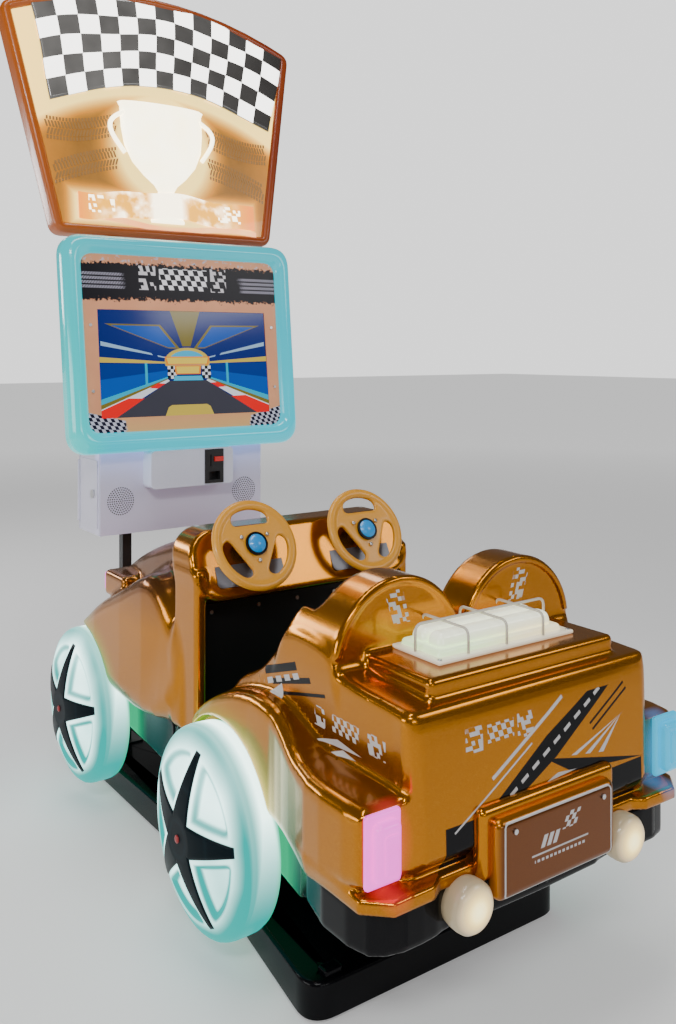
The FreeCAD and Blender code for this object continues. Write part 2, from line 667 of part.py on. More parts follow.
def dash_profile(low):
    """Side view of the dash face, the cowl, the bonnet and the nose."""
    rise = 106.0
    top_y = d.dash_y + rise * math.tan(math.radians(d.dash_tilt))
    return [(d.kick_y, low), (d.kick_y, d.dash_crease - 24), (d.dash_y + 4, d.dash_crease - 18),
            (d.dash_y, d.dash_crease), (top_y, d.dash_crease + rise),
            (520, 706), (580, 680), (700, 648), (812, 620), (885, 590), (950, 552),
            (1020, 490), (1058, 410), (1062, low)]


def dash_plan():
    half = d.dash_half
    right = [(half, 430), (half, 500), (222, 575), (188, 880), (172, 1065)]
    return [(x, y) for x, y in right] + [(-x, y) for x, y in reversed(right)]


def bay_profile(grow):
    """Side view of the riders' space: seat back, seat and footwell, open upwards."""
    return [(36 - grow, 900), (76 - grow, d.seat_z + 8 - grow), (300 + grow, d.seat_z - grow),
            (312 + grow, d.floor_z - grow), (600, d.floor_z - grow), (600, 900)]


def common_prism(profile, plan, low, inset):
    body = side_prism(profile, -400, 400, inset)
    return body.common(plan_prism(plan, low, 900, inset))


def make_rear_body():
    wall, low = d.shell_wall, d.split_z
    deep = low - 60

    def solids(inset, bottom):
        half = d.tub_half - inset
        parts = [side_prism(tub_profile(bottom), -half, half, inset)]
        deck = Part.makeBox(2 * (d.deck_half - inset), 190, 60,
                            Vector(inset - d.deck_half, d.deck_rear + inset,
                                   d.deck_top - 60 - inset))
        parts.append(deck)
        for side in (-1, 1):
            parts.append(Part.makeCylinder(d.arch_rad - inset, 88 - 2 * inset,
                                           Vector(side * d.arch_x, d.arch_rear + inset, d.arch_z),
                                           Vector(0, 1, 0)))
            fender = common_prism(rear_fender_crest(bottom), rear_fender_plan(side),
                                  bottom - 10, inset)
            parts.append(fender.cut(wheel_well(side, d.well_rear_x, d.wheel_rear_y, inset)))
        bridge = Part.makeBox(120, 88 - 2 * inset, 100,
                              Vector(-60, d.arch_rear + inset, 540 - inset))
        return union(parts + [bridge])

    bay = side_prism(bay_profile(0), -d.bay_half, d.bay_half)
    bay_skin = side_prism(bay_profile(wall), -d.bay_half - wall, d.bay_half + wall)
    outer = solids(0, low).cut(bay)
    inner = solids(wall, deep).cut(bay_skin)
    shape_part("rear_body_shell", outer.cut(inner).removeSplitter())


def make_front_body():
    wall, low = d.shell_wall, d.split_z
    deep = low - 60

    def solids(inset, bottom):
        parts = [common_prism(dash_profile(bottom), dash_plan(), bottom - 10, inset)]
        for side in (-1, 1):
            wing = common_prism(front_fender_crest(bottom), front_fender_plan(side),
                                bottom - 10, inset)
            parts.append(wing.cut(wheel_well(side, d.well_front_x, d.wheel_front_y, inset)))
            parts.append(Part.makeBox(2 * (d.head_half + 4 - inset), 120 - inset,
                                      2 * (d.head_half + 4 - inset),
                                      Vector(side * d.head_x - d.head_half - 4 + inset,
                                             d.head_y - 120, d.head_z - d.head_half - 4 + inset)))
        return union(parts)

    access = Part.makeBox(2 * d.kick_half - 40, 40, d.kick_high - d.kick_low - 40,
                          Vector(20 - d.kick_half, d.kick_y - 20, d.kick_low + 20))
    shell = solids(0, low).cut(solids(wall, deep)).cut(access)
    tilt = math.radians(d.dash_tilt)
    for side in (-1, 1):
        shell = shell.cut(Part.makeCylinder(18, 60, steer_point(side, 60),
                                            Vector(0, -math.cos(tilt), math.sin(tilt))))
    shape_part("front_body_shell", shell.removeSplitter())


def steer_point(side, back):
    """A point on a steering axis, back behind the rim's plane."""
    tilt = math.radians(d.dash_tilt)
    return Vector(side * d.steer_x, d.steer_y + back * math.cos(tilt),
                  d.steer_z - back * math.sin(tilt))


def make_skirt():
    def plan(inset):
        right = [(d.skirt_half - 40, d.skirt_rear), (d.skirt_half, -205), (d.skirt_half, -70),
                 (264, 80), (d.dash_half - 12, 480), (222, 815),
                 (212, d.skirt_front - 20)]
        nose = (180, d.skirt_front)
        right.append(nose)
        return [(x, y) for x, y in right] + [(-x, y) for x, y in reversed(right)]

    top = d.split_z
    profile = [(-240, 246), (-240, top), (1100, top), (1100, 190), (30, 190)]
    ring = side_prism(profile, -400, 400).common(plan_prism(plan(0), 100, 500))
    hollow = plan_prism(plan(0), 100, 500, d.shell_wall)
    walls = ring.cut(hollow)
    floor = plan_prism(plan(0), d.floor_z - 8, d.floor_z, d.shell_wall - 1)
    floor = floor.cut(Part.makeBox(900, 400, 60, Vector(-450, -300, 180)))
    floor = floor.cut(Part.makeBox(60, 130, 60, Vector(-30, 640, 180)))
    ties = [Part.makeBox(20, 330, 30, Vector(x, -226, 262)) for x in (-190, 170)]
    shape_part("skirt_shell", union([walls, floor] + ties))


def make_kick_panel():
    body = new_body("kick_panel", y="kick_y - kick_thick")
    sketch = new_sketch(body, "XZ", "-kick_thick")
    rectangle(sketch, ("-kick_half", "kick_half"), ("kick_low", "kick_high"))
    pad(body, sketch, "kick_thick")
    soften(body, 16.0, along("y"))


def make_screws():
    heads = []
    for x in (-205, -95, 0, 95, 205):
        heads.append((x, d.kick_y - d.kick_thick - 2, d.kick_high - 16))
    for x in (-1, 1):
        for z in (360, 430, 500):
            heads.append((x * (d.kick_half - 12), d.kick_y - d.kick_thick - 2, z))
        heads.append((x * 97, d.plate_front - 2, d.plate_high - 20))
    solids = [Part.makeCylinder(4, 2, Vector(x, y, z), Vector(0, 1, 0))
              for x, y, z in heads]
    shape_part("body_screws", Part.makeCompound(solids))


def make_plate():
    back = box(("-plate_x - 16", "plate_x + 16"), ("-244", "-226"),
               ("split_z + 10", "plate_high + 16"))
    front = box(("-plate_x", "plate_x"), ("plate_front", "-233"), ("plate_low", "plate_high"))
    keep(fuse([rounded(back, 10.0, along("y")), rounded(front, 10.0, along("y"))]),
         "plate_box")


# ---------------------------------------------------------------- steering

def steer_place(side, back=0.0):
    """Local Z runs out of the wheel towards the rider."""
    turn = Rotation(Vector(1, 0, 0), 90 - d.dash_tilt)
    return Placement(steer_point(side, back) - Vector(0, d.origin_y, 0), turn)


def make_steering():
    rim, thick = d.steer_rim, d.steer_thick
    tilt = d.dash_tilt
    for side, hand in ((-1, "left"), (1, "right")):
        disc = Part.makeCylinder(d.steer_rad, thick, Vector(0, 0, -thick / 2))
        disc = disc.makeFillet(4, [e for e in disc.Edges if isinstance(e.Curve, Part.Circle)])
        for third in range(3):
            disc = disc.cut(steer_slot(third * 120.0))
        barrel = Part.makeCylinder(d.button_bezel - 5, 60, Vector(0, 0, -14))
        wheel = disc.cut(barrel)
        hub = Part.makeCylinder(26, 8, Vector(0, 0, -22))
        neck = Part.makeCylinder(26, 9, Vector(0, 0, -15)).cut(barrel)
        wheel = union([wheel, hub, neck])
        wheel = wheel.cut(Part.makeCylinder(d.steer_shaft_rad + 0.02, 20, Vector(0, 0, -30)))
        shape_part("steering_wheel_" + hand, wheel, steer_place(side))
        shaft = Part.makeCylinder(d.steer_shaft_rad, 96, Vector(0, 0, -112))
        shape_part("steering_shaft_" + hand, shaft, steer_place(side))
        bezel = Part.makeCylinder(d.button_bezel, 4, Vector(0, 0, thick / 2))
        sleeve = Part.makeCylinder(d.button_bezel - 5.1, 18, Vector(0, 0, -10.5))
        cup = Part.makeCylinder(d.button_rad - 0.8, 40, Vector(0, 0, -6))
        mouth = Part.makeCylinder(d.button_rad + 0.4, 20, Vector(0, 0, 1))
        housing = union([bezel, sleeve]).cut(cup).cut(mouth)
        shape_part("button_housing_" + hand, housing, steer_place(side))
        dome_rad = 30.0
        dome = Part.makeCylinder(d.button_rad - 0.0, 24, Vector(0, 0, thick / 2 - 1.5))
        ball = Part.makeSphere(dome_rad, Vector(0, 0, thick / 2 + d.button_proud - dome_rad))
        cap = dome.common(ball)
        stem = Part.makeCylinder(6, 9, Vector(0, 0, thick / 2 - 10))
        shape_part("horn_button_" + hand, union([cap, stem]), steer_place(side))
    dash_gap = steer_dash_gap()
    plates, bearings = [], []
    for side in (-1, 1):
        plate = Part.makeBox(2 * d.plate_half, d.plate_up, 4,
                             Vector(-d.plate_half, -d.plate_up / 2 - 12, -dash_gap))
        plate = plate.makeFillet(12, [e for e in plate.Edges if along("z")(e)])
        plate = plate.cut(Part.makeCylinder(18, 30, Vector(0, 0, -60)))
        collar = Part.makeCylinder(17.5, 34, Vector(0, 0, -dash_gap - 32))
        flange = Part.makeCylinder(30, 4, Vector(0, 0, -dash_gap - 9.2))
        bore = Part.makeCylinder(d.steer_shaft_rad + d.bear_gap, 90, Vector(0, 0, -110))
        for shape, store in ((plate, plates), (union([collar, flange]).cut(bore), bearings)):
            shape.Placement = steer_place(side).multiply(shape.Placement)
            store.append(shape)
    shape_part("steering_plates", Part.makeCompound(plates), Placement())
    shape_part("steering_bearings", Part.makeCompound(bearings), Placement())


def steer_dash_gap():
    """Distance along the steering axis from the rim's plane to the dash face."""
    tilt = math.radians(d.dash_tilt)
    face_y = d.dash_y + (d.steer_z - d.dash_crease) * math.tan(tilt)
    return (face_y - d.steer_y) * math.cos(tilt)


def steer_slot(turn):
    """One of the three rounded windows between the spokes and the rim."""
    outer = Part.makeCylinder(d.steer_rad - d.steer_rim, 40, Vector(0, 0, -20))
    chord = Part.makeBox(200, 60, 40, Vector(-100, 44, -20))
    slot = outer.common(chord)
    slot.rotate(Vector(), Vector(0, 0, 1), turn)
    return slot


# ---------------------------------------------------------------- road wheels

def dome_drop(radius):
    """How far the domed face falls back from its crown at a radius."""
    reach, drop = d.wheel_rad, d.wheel_dome
    sphere = (reach ** 2 + drop ** 2) / (2 * drop)
    return sphere - math.sqrt(sphere ** 2 - radius ** 2)


def wheel_profile(inset):
    """Half section of a road wheel: X in from the crown, Z out from the axle."""
    crown = [Vector(inset + dome_drop(r), 0, r) for r in (0, 60, 120, d.wheel_rad - 12)]
    face = Part.Arc(crown[0], crown[2], crown[3]).toShape()
    edge = Vector(inset + d.wheel_dome + 8, 0, d.wheel_rad - inset)
    rear = Vector(d.wheel_deep, 0, d.wheel_rad - inset - 2)
    axis = Vector(d.wheel_deep, 0, 0)
    tail = Part.makePolygon([crown[3], edge, rear, axis, crown[0]])
    return Part.Face(Part.Wire([face] + tail.Edges))


def wheel_solid(inset):
    return wheel_profile(inset).revolve(Vector(), Vector(1, 0, 0), 360)


WHEELS = (("rear_left", -1), ("rear_right", 1), ("front_left", -1), ("front_right", 1))


def wheel_place(name, side):
    x = d.wheel_rear_x if name.startswith("rear") else d.wheel_front_x
    y = d.wheel_rear_y if name.startswith("rear") else d.wheel_front_y
    turn = Rotation(Vector(0, 0, 1), 0 if side < 0 else 180)
    return Placement(Vector(side * x, y - d.origin_y, d.wheel_z), turn)


def star_face():
    points = []
    for arm in range(5):
        for radius, shift in ((d.star_tip, -2.0), (d.star_tip, 2.0), (d.star_waist, 36.0)):
            angle = math.radians(90 + arm * 72 + d.star_turn + shift)
            points.append(Vector(-60, radius * math.cos(angle), radius * math.sin(angle)))
    return face_of(points)


def make_wheels():
    outer = wheel_solid(0)
    inner = wheel_solid(d.wheel_wall)
    shell = outer.cut(inner)
    cover = outer.translated(Vector(-d.star_proud, 0, 0)).cut(outer)
    star = star_face().extrude(Vector(130, 0, 0)).common(cover)
    hub = Part.makeCylinder(16, 12, Vector(-d.star_proud - 3, 0, 0), Vector(1, 0, 0))
    star = union([star, hub.cut(outer)])
    stars, lights = [], []
    shells = {"rear": [], "front": []}
    for name, side in WHEELS:
        place_here = wheel_place(name, side)
        tyre = shell.copy()
        tyre.Placement = place_here
        shells[name.split("_")[0]].append(tyre)
        one = star.copy()
        one.Placement = place_here
        stars.append(one)
        lamp = Part.makeCylinder(70, 12, Vector(d.wheel_deep - 12, 0, 0), Vector(1, 0, 0))
        lamp.Placement = place_here.multiply(lamp.Placement)
        lights.append(lamp)
    for end, pair in shells.items():
        shape_part("wheel_shells_" + end, Part.makeCompound(pair), Placement())
    shape_part("wheel_stars", Part.makeCompound(stars), Placement())
    shape_part("wheel_lamp_boards", Part.makeCompound(lights), Placement())


# ---------------------------------------------------------------- lamps

def make_tail_lamps():
    bases = []
    for side, hand in ((-1, "left"), (1, "right")):
        x = (f"{side} * tail_x - tail_half", f"{side} * tail_x + tail_half")
        lens = box(x, ("pod_rear - tail_base - tail_deep", "pod_rear - tail_base"),
                   ("tail_low", "tail_high"))
        keep(rounded(lens, 6.0, along("y")), "tail_lamp_lens_" + hand)
        base = box((f"{x[0]} - tail_margin", f"{x[1]} + tail_margin"),
                   ("pod_rear - tail_base", "pod_rear"),
                   ("tail_low - 12", "tail_high + 14"))
        bases.append(rounded(base, 10.0, along("y")))
    keep(group(bases), "tail_lamp_bases")


def make_marker_lamps():
    lamps = both(lambda side: rod("y", (f"{side} * marker_x", "skirt_rear - marker_deep",
                                        "marker_z"), "marker_rad", "marker_deep"))
    rims = [rounded(lamp, 9.0, lambda e: isinstance(e.Curve, Part.Circle)
                    and e.BoundBox.YMax < d.skirt_rear - d.marker_deep - d.origin_y + 1)
            for lamp in lamps]
    keep(group(rims), "marker_lamps")


def make_headlamps():
    lenses = both(lambda side: box(
        (f"{side} * head_x - head_half", f"{side} * head_x + head_half"),
        ("head_y", "head_y + head_deep"), ("head_z - head_half", "head_z + head_half")))
    keep(group([rounded(lens, 8.0, along("y")) for lens in lenses]), "headlamp_lenses")


def make_bulkhead_lamp():
    low = "deck_top"
    base = box(("-bulk_half", "bulk_half"), ("bulk_rear", "bulk_front"),
               (low, f"{low} + bulk_base"))
    keep(rounded(base, 8.0, along("z")), "bulkhead_lamp_base")
    middle = "(bulk_rear + bulk_front) / 2"
    lens = box(("-bulk_lens_half", "bulk_lens_half"),
               (f"{middle} - bulk_lens_wide / 2", f"{middle} + bulk_lens_wide / 2"),
               (f"{low} + bulk_base", f"{low} + bulk_base + bulk_lens_high"))
    keep(rounded(lens, 10.0, along("z")), "bulkhead_lamp_lens")
    keep_guard()


def keep_guard():
    """Four wire hoops over the lens and one wire along its top."""
    foot = d.deck_top + d.bulk_base
    top = foot + d.bulk_lens_high + 12
    middle = (d.bulk_rear + d.bulk_front) / 2
    reach = d.bulk_lens_wide / 2 + 12
    wires = []
    for x in (-110, -37, 37, 110):
        path = [Vector(x, middle - reach, foot), Vector(x, middle - reach, top),
                Vector(x, middle + reach, top), Vector(x, middle + reach, foot)]
        wires += [wire_run(a, b) for a, b in zip(path, path[1:])]
        wires += [Part.makeSphere(d.guard_rad, p) for p in path[1:3]]
    ends = [Vector(-134, middle, foot), Vector(-134, middle, top), Vector(134, middle, top),
            Vector(134, middle, foot)]
    wires += [wire_run(a, b) for a, b in zip(ends, ends[1:])]
    wires += [Part.makeSphere(d.guard_rad, p) for p in ends[1:3]]
    shape_part("bulkhead_lamp_guard", union(wires))


def wire_run(start, end):
    line = end - start
    return Part.makeCylinder(d.guard_rad, line.Length, start, line)


# ---------------------------------------------------------------- build, check and write

for make in (make_base_shell, make_base_frame, make_levelling_feet, make_posts, make_cabinet,
             make_service_door, make_coin_unit, make_speakers, make_electrics, make_screen,
             make_marquee, make_panel_screws, make_bearings, make_rocker_frame, make_drive,
             make_rear_body, make_front_body, make_skirt, make_kick_panel, make_screws,
             make_plate, make_steering, make_wheels, make_tail_lamps, make_marker_lamps,
             make_headlamps, make_bulkhead_lamp):
    make()
doc.recompute()

for obj in doc.Objects:
    if "Invalid" in obj.State or "Error" in obj.State:
        raise RuntimeError(f"{obj.Label} failed: {obj.State}")
for part in PARTS:
    if part.Shape.isNull() or not part.Shape.isValid() or not part.Shape.Solids:
        raise RuntimeError(f"{part.Label} has no valid solid")

os.makedirs("parts", exist_ok=True)
total = FreeCAD.BoundBox()
for part in PARTS:
    part.Shape.exportStep(f"parts/{part.Label}.step")
    total.add(part.Shape.BoundBox)
print(len(PARTS), "sub-parts; X", round(total.XMin, 1), round(total.XMax, 1), "Y",
      round(total.YMin, 1), round(total.YMax, 1), "Z", round(total.ZMin, 1), round(total.ZMax, 1))
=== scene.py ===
import math

import bmesh
import bpy
import numpy as np
from mathutils import Matrix, Vector


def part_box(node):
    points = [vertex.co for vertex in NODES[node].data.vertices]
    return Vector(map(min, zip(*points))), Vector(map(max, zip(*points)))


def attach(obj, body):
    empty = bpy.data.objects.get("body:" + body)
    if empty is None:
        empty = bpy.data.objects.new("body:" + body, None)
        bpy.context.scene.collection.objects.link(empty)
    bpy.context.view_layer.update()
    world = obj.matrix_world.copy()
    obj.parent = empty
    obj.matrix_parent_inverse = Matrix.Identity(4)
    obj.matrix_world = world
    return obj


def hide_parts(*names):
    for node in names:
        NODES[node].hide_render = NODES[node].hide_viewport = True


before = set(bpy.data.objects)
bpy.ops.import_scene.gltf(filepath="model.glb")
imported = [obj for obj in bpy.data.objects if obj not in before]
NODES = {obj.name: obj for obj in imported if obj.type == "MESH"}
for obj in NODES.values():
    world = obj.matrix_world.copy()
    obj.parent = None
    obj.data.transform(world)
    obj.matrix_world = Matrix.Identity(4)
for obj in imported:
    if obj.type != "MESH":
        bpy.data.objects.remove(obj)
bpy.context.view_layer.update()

# Lengths are millimetres; y is measured from the plinth's rear edge.
MM = 0.001
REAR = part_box("base_shell")[0].y
SIDES = (-1, "left"), (1, "right")
PLINTH = Matrix.Translation((0, REAR, 0))


# ---------------------------------------------------------------- shader graphs

class Value:
    """A shader socket that takes part in arithmetic."""

    def __init__(self, graph, socket):
        self.graph, self.socket = graph, socket

    def __add__(self, other):
        return self.graph.math("ADD", self, other)

    def __sub__(self, other):
        return self.graph.math("SUBTRACT", self, other)

    def __rsub__(self, other):
        return self.graph.math("SUBTRACT", other, self)

    def __mul__(self, other):
        return self.graph.math("MULTIPLY", self, other)

    def __truediv__(self, other):
        return self.graph.math("DIVIDE", self, other)

    def __abs__(self):
        return self.graph.math("ABSOLUTE", self)

    __radd__ = __add__
    __rmul__ = __mul__


class Graph:
    """A Principled material whose inputs are set by name, by number or by Value."""

    def __init__(self, name, colour=(0.8, 0.8, 0.8), **constants):
        self.material = bpy.data.materials.new(name)
        self.material.use_nodes = True
        self.tree = self.material.node_tree
        self.shader = self.tree.nodes["Principled BSDF"]
        self.set("Base Color", (*colour, 1))
        for key, value in constants.items():
            self.set(key.replace("_", " "), value)

    def set(self, key, value):
        """Set one input of the Principled shader."""
        self.link(self.shader.inputs[key], value)

    def link(self, socket, value):
        """Feed a socket from a Value, or give it a number or colour of its own."""
        if isinstance(value, Value):
            self.tree.links.new(value.socket, socket)
        else:
            socket.default_value = value

    def node(self, kind, **inputs):
        """The first output of a new node, with its inputs set by name."""
        node = self.tree.nodes.new(kind)
        for key, value in inputs.items():
            self.link(node.inputs[key.replace("_", " ")], value)
        return Value(self, node.outputs[0])

    def math(self, operation, a, b=0.0, clamp=False):
        node = self.tree.nodes.new("ShaderNodeMath")
        node.operation, node.use_clamp = operation, clamp
        self.link(node.inputs[0], a)
        self.link(node.inputs[1], b)
        return Value(self, node.outputs[0])

    def root(self, value):
        return self.math("SQRT", value)

    def fract(self, value):
        return self.math("FRACT", value)

    def place(self):
        """x, y, z of the surface in the piece's own frame, in millimetres."""
        node = self.tree.nodes.new("ShaderNodeTexCoord")
        scaled = self.tree.nodes.new("ShaderNodeVectorMath")
        scaled.operation = "SCALE"
        scaled.inputs["Scale"].default_value = 1 / MM
        self.tree.links.new(node.outputs["Object"], scaled.inputs[0])
        self.point = Value(self, scaled.outputs[0])
        split = self.tree.nodes.new("ShaderNodeSeparateXYZ")
        self.tree.links.new(scaled.outputs[0], split.inputs[0])
        return [Value(self, s) for s in split.outputs]

    def attribute(self, name):
        """A number that the mesh carries at each vertex."""
        node = self.tree.nodes.new("ShaderNodeAttribute")
        node.attribute_name = name
        return Value(self, node.outputs["Fac"])

    def over(self, value, edge, soft=0.6):
        """1 where value is over edge, 0 where it is under."""
        return self.node("ShaderNodeMapRange", Value=value, From_Min=edge - soft,
                         From_Max=edge + soft)

    def under(self, value, edge, soft=0.6):
        return 1 - self.over(value, edge, soft)

    def between(self, value, low, high, soft=0.6):
        return self.over(value, low, soft) * self.under(value, high, soft)

    def ramp(self, value, low, high):
        """value mapped to 0..1 over low..high."""
        return self.over(value, (low + high) / 2, (high - low) / 2)

    def either(self, *masks):
        total = masks[0]
        for mask in masks[1:]:
            total = self.math("MAXIMUM", total, mask)
        return total

    def mix(self, factor, a, b):
        """Colour a where factor is 0 and b where it is 1."""
        node = self.tree.nodes.new("ShaderNodeMix")
        node.data_type = "RGBA"
        self.link(node.inputs["Factor"], factor)
        for socket, colour in ((node.inputs[6], a), (node.inputs[7], b)):
            self.link(socket, colour if isinstance(colour, Value) else (*colour, 1))
        return Value(self, node.outputs[2])

    def noise(self, scale, detail=2.0, rough=0.5):
        """Noise from 0 to 1; scale counts features in a metre."""
        return self.node("ShaderNodeTexNoise", Vector=self.point, Scale=scale * MM,
                         Detail=detail, Roughness=rough)

    def line(self, p, q, u, v):
        """Signed distance of (u, v) from the line p to q, positive on its left."""
        du, dv = q[0] - p[0], q[1] - p[1]
        size = math.hypot(du, dv)
        offset = (p[0] * dv - p[1] * du) / size
        return u * (-dv / size) + v * (du / size) + offset

    def polygon(self, points, u, v, soft=0.5):
        """Mask of a convex polygon, given anticlockwise."""
        mask = None
        for p, q in zip(points, points[1:] + points[:1]):
            edge = self.over(self.line(p, q, u, v), 0, soft)
            mask = edge if mask is None else mask * edge
        return mask

    def chequer(self, u, v, cell):
        """1 and 0 in turn over square cells."""
        row = self.math("FLOOR", u / cell)
        column = self.math("FLOOR", v / cell)
        return self.over(self.math("PINGPONG", row + column, 1.0), 0.5, 0.05)

    def scatter(self, u, v, cell, density):
        """A random share of square cells."""
        cells = self.tree.nodes.new("ShaderNodeCombineXYZ")
        self.link(cells.inputs[0], self.math("FLOOR", u / cell))
        self.link(cells.inputs[1], self.math("FLOOR", v / cell))
        noise = self.node("ShaderNodeTexWhiteNoise", Vector=Value(self, cells.outputs[0]))
        return self.under(noise, density, 0.01)

    def bump(self, height, distance):
        """Relief of a given depth in millimetres, drawn by a mask."""
        self.set("Normal", self.node("ShaderNodeBump", Distance=distance * MM, Height=height))

    def facing(self):
        """The three parts of the surface normal in the piece's own frame."""
        node = self.tree.nodes.new("ShaderNodeTexCoord")
        split = self.tree.nodes.new("ShaderNodeSeparateXYZ")
        self.tree.links.new(node.outputs["Normal"], split.inputs[0])
        return [Value(self, s) for s in split.outputs]


def plain(name, colour, roughness, vary=0.06, grain=40.0, bump=0.0, **constants):
    """A finish with slight mottling in colour and gloss."""
    g = Graph(name, colour, **constants)
    g.place()
    speck = g.noise(grain * 10, 3.0)
    dark = tuple(c * (1 - vary * 2) for c in colour)
    light = tuple(min(1, c * (1 + vary)) for c in colour)
    g.set("Base Color", g.mix(speck, dark, light))
    g.set("Roughness", speck * (roughness * 0.3) + roughness * 0.85)
    if bump:
        g.bump(g.noise(grain * 40, 2.0), bump)
    return g.material


def glowing(name, colour, light, strength, roughness=0.3, edge=None):
    """A translucent moulding lit from inside, paler where the lamps are close."""
    g = Graph(name, colour, Roughness=roughness, Coat_Weight=0.3, Coat_Roughness=0.1)
    g.place()
    cloud = g.noise(14, 1.5)
    g.set("Base Color", g.mix(cloud, colour, tuple(min(1, c * 1.1 + 0.02) for c in colour)))
    g.set("Emission Color", g.mix(cloud, edge or light, light))
    g.set("Emission Strength", strength)
    return g.material


GOLD, DEEP_GOLD, SHADE_AND_TONE_BROWN = (0.56, 0.200, 0.0), (0.32, 0.100, 0.0), (0.170, 0.058, 0.024)
SILVER, BLACK = (0.56, 0.55, 0.55), (0.004, 0.004, 0.005)


def gold_paint(name, decals=None, shade=None, light=None):
    """Candy gold over a metallic base, under lacquer, with printed film where decals says, painted
    shade where shade says and painted light where light says.
    """
    g = Graph(name, GOLD, Coat_Weight=0.2, Coat_Roughness=0.02, Specular_IOR_Level=0.05)
    x, y, z = g.place()
    flake = g.noise(900, 1.0)
    paint = g.mix(g.noise(3, 1.0) * 0.6, GOLD, DEEP_GOLD)
    # Painted shade: the gold turns brown where shade says; the same mask also carries a random
    # browner tone.
    if shade:
        paint = g.mix(shade(g, x, y, z), paint, SHADE_AND_TONE_BROWN)
    paint = g.mix(g.over(flake, 0.58, 0.10) * 0.25, paint, (0.85, 0.42, 0.05))
    metallic = 0.88
    if decals:
        black, silver = decals(g, x, y, z)
        paint = g.mix(silver, g.mix(black, paint, BLACK), SILVER)
        metallic = (1 - g.either(black, silver)) * metallic
    # Painted light: the gold glows where light says, standing in for light from the wheels and
    # lamps.
    if light:
        colour, strength = light(g, x, y, z)
        g.set("Emission Color", colour)
        g.set("Emission Strength", strength)
    g.set("Base Color", paint)
    g.set("Metallic", metallic)
    g.set("Roughness", flake * 0.10 + 0.15)
    return g.material


def wheel_light(g, x, y, z, axle_y, out_x):
    """How strongly a road wheel's painted light shows on a panel near it."""
    up = z - AXLE_Z
    away = g.root((y - axle_y) * (y - axle_y) + up * up)
    near = 1 - g.ramp(away, 184, 262)
    return near * near * g.over(abs(x), out_x, 22)


# ---------------------------------------------------------------- pieces

def added(name, data):
    """A new object in the scene."""
    obj = bpy.data.objects.new(name, data)
    bpy.context.scene.collection.objects.link(obj)
    return obj


def piece(name, verts, faces, material, body, slot, replaces=(), space=PLINTH, smooth=True,
          picks=None, attributes=None, angle=None):
    """A mesh piece; verts are millimetres in the frame that space places."""
    mesh = bpy.data.meshes.new(name)
    mesh.from_pydata([tuple(v) for v in np.asarray(verts, float) * MM], [], faces)
    for item in material if isinstance(material, (list, tuple)) else [material]:
        mesh.materials.append(item)
    if picks is not None:
        mesh.polygons.foreach_set("material_index", picks)
    for key, values in (attributes or {}).items():
        mesh.attributes.new(key, "FLOAT", "POINT").data.foreach_set("value", values)
    mesh.validate()
    work = bmesh.new()
    work.from_mesh(mesh)
    bmesh.ops.recalc_face_normals(work, faces=work.faces)
    work.to_mesh(mesh)
    work.free()
    mesh.shade_smooth() if smooth else mesh.shade_flat()
    if angle:
        mesh.set_sharp_from_angle(angle=math.radians(angle))
    obj = added(name, mesh)
    obj.matrix_world = space
    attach(obj, body)
    if replaces:
        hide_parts(*replaces)
    return obj


def bevelled(obj, width, segments=3):
    """Round the sharp edges of a piece."""
    modifier = obj.modifiers.new("bevel", "BEVEL")
    modifier.width, modifier.segments = width * MM, segments
    modifier.limit_method, modifier.angle_limit = "ANGLE", math.radians(40)
    modifier.harden_normals = True
    return obj


BOX_FACES = [(0, 1, 3, 2), (4, 6, 7, 5), (0, 4, 5, 1), (2, 3, 7, 6), (0, 2, 6, 4), (1, 5, 7, 3)]


def soft_box(name, low, high, round_by, material, body, slot, space=PLINTH, taper=(0, 0),
             **options):
    """A box with rounded edges; taper draws in its top face, in x and in y."""
    verts = []
    for x in (low[0], high[0]):
        for y in (low[1], high[1]):
            for z in (low[2], high[2]):
                draw = 1 if z == high[2] else 0
                verts.append((x - math.copysign(taper[0] * draw, x - (low[0] + high[0]) / 2),
                              y - math.copysign(taper[1] * draw, y - (low[1] + high[1]) / 2), z))
    obj = piece(name, verts, BOX_FACES, material, body, slot, space=space, **options)
    return bevelled(obj, round_by, 4)


def lofted(rings, cap_first=True, cap_last=True):
    """Vertices and faces joining closed rings of equal length."""
    count = len(rings[0])
    verts = [v for ring in rings for v in ring]
    faces = []
    for r in range(len(rings) - 1):
        a, b = r * count, (r + 1) * count
        faces += [(a + i, a + (i + 1) % count, b + (i + 1) % count, b + i) for i in range(count)]
    if cap_first:
        faces.append(tuple(reversed(range(count))))
    if cap_last:
        faces.append(tuple(range((len(rings) - 1) * count, len(rings) * count)))
    return verts, faces


def lathed(profile, segments):
    """A turned solid about local Z from (radius, height) pairs."""
    turns = [math.tau * i / segments for i in range(segments)]
    return lofted([[(radius * math.cos(a), radius * math.sin(a), height) for a in turns]
                   for radius, height in profile])


def merged(parts):
    """One (verts, faces) from several."""
    verts, faces = [], []
    for more_verts, more_faces in parts:
        base = len(verts)
        verts += [tuple(v) for v in more_verts]
        faces += [tuple(base + i for i in face) for face in more_faces]
    return verts, faces


def moved(solid, matrix):
    """A (verts, faces) carried by a matrix whose lengths are millimetres."""
    verts, faces = solid
    return [tuple(matrix @ Vector(v)) for v in verts], faces


def tube(path, radius, segments=10):
    """A round bar along a path of points."""
    points = [Vector(p) for p in path]
    rings, side = [], None
    for i, point in enumerate(points):
        ahead = (points[min(i + 1, len(points) - 1)] - points[max(i - 1, 0)]).normalized()
        side = ahead.orthogonal() if side is None else side - ahead * side.dot(ahead)
        side.normalize()
        up = ahead.cross(side)
        ring = []
        for k in range(segments):
            a = 2 * math.pi * k / segments
            ring.append(point + (side * math.cos(a) + up * math.sin(a)) * radius)
        rings.append(ring)
    return lofted(rings)


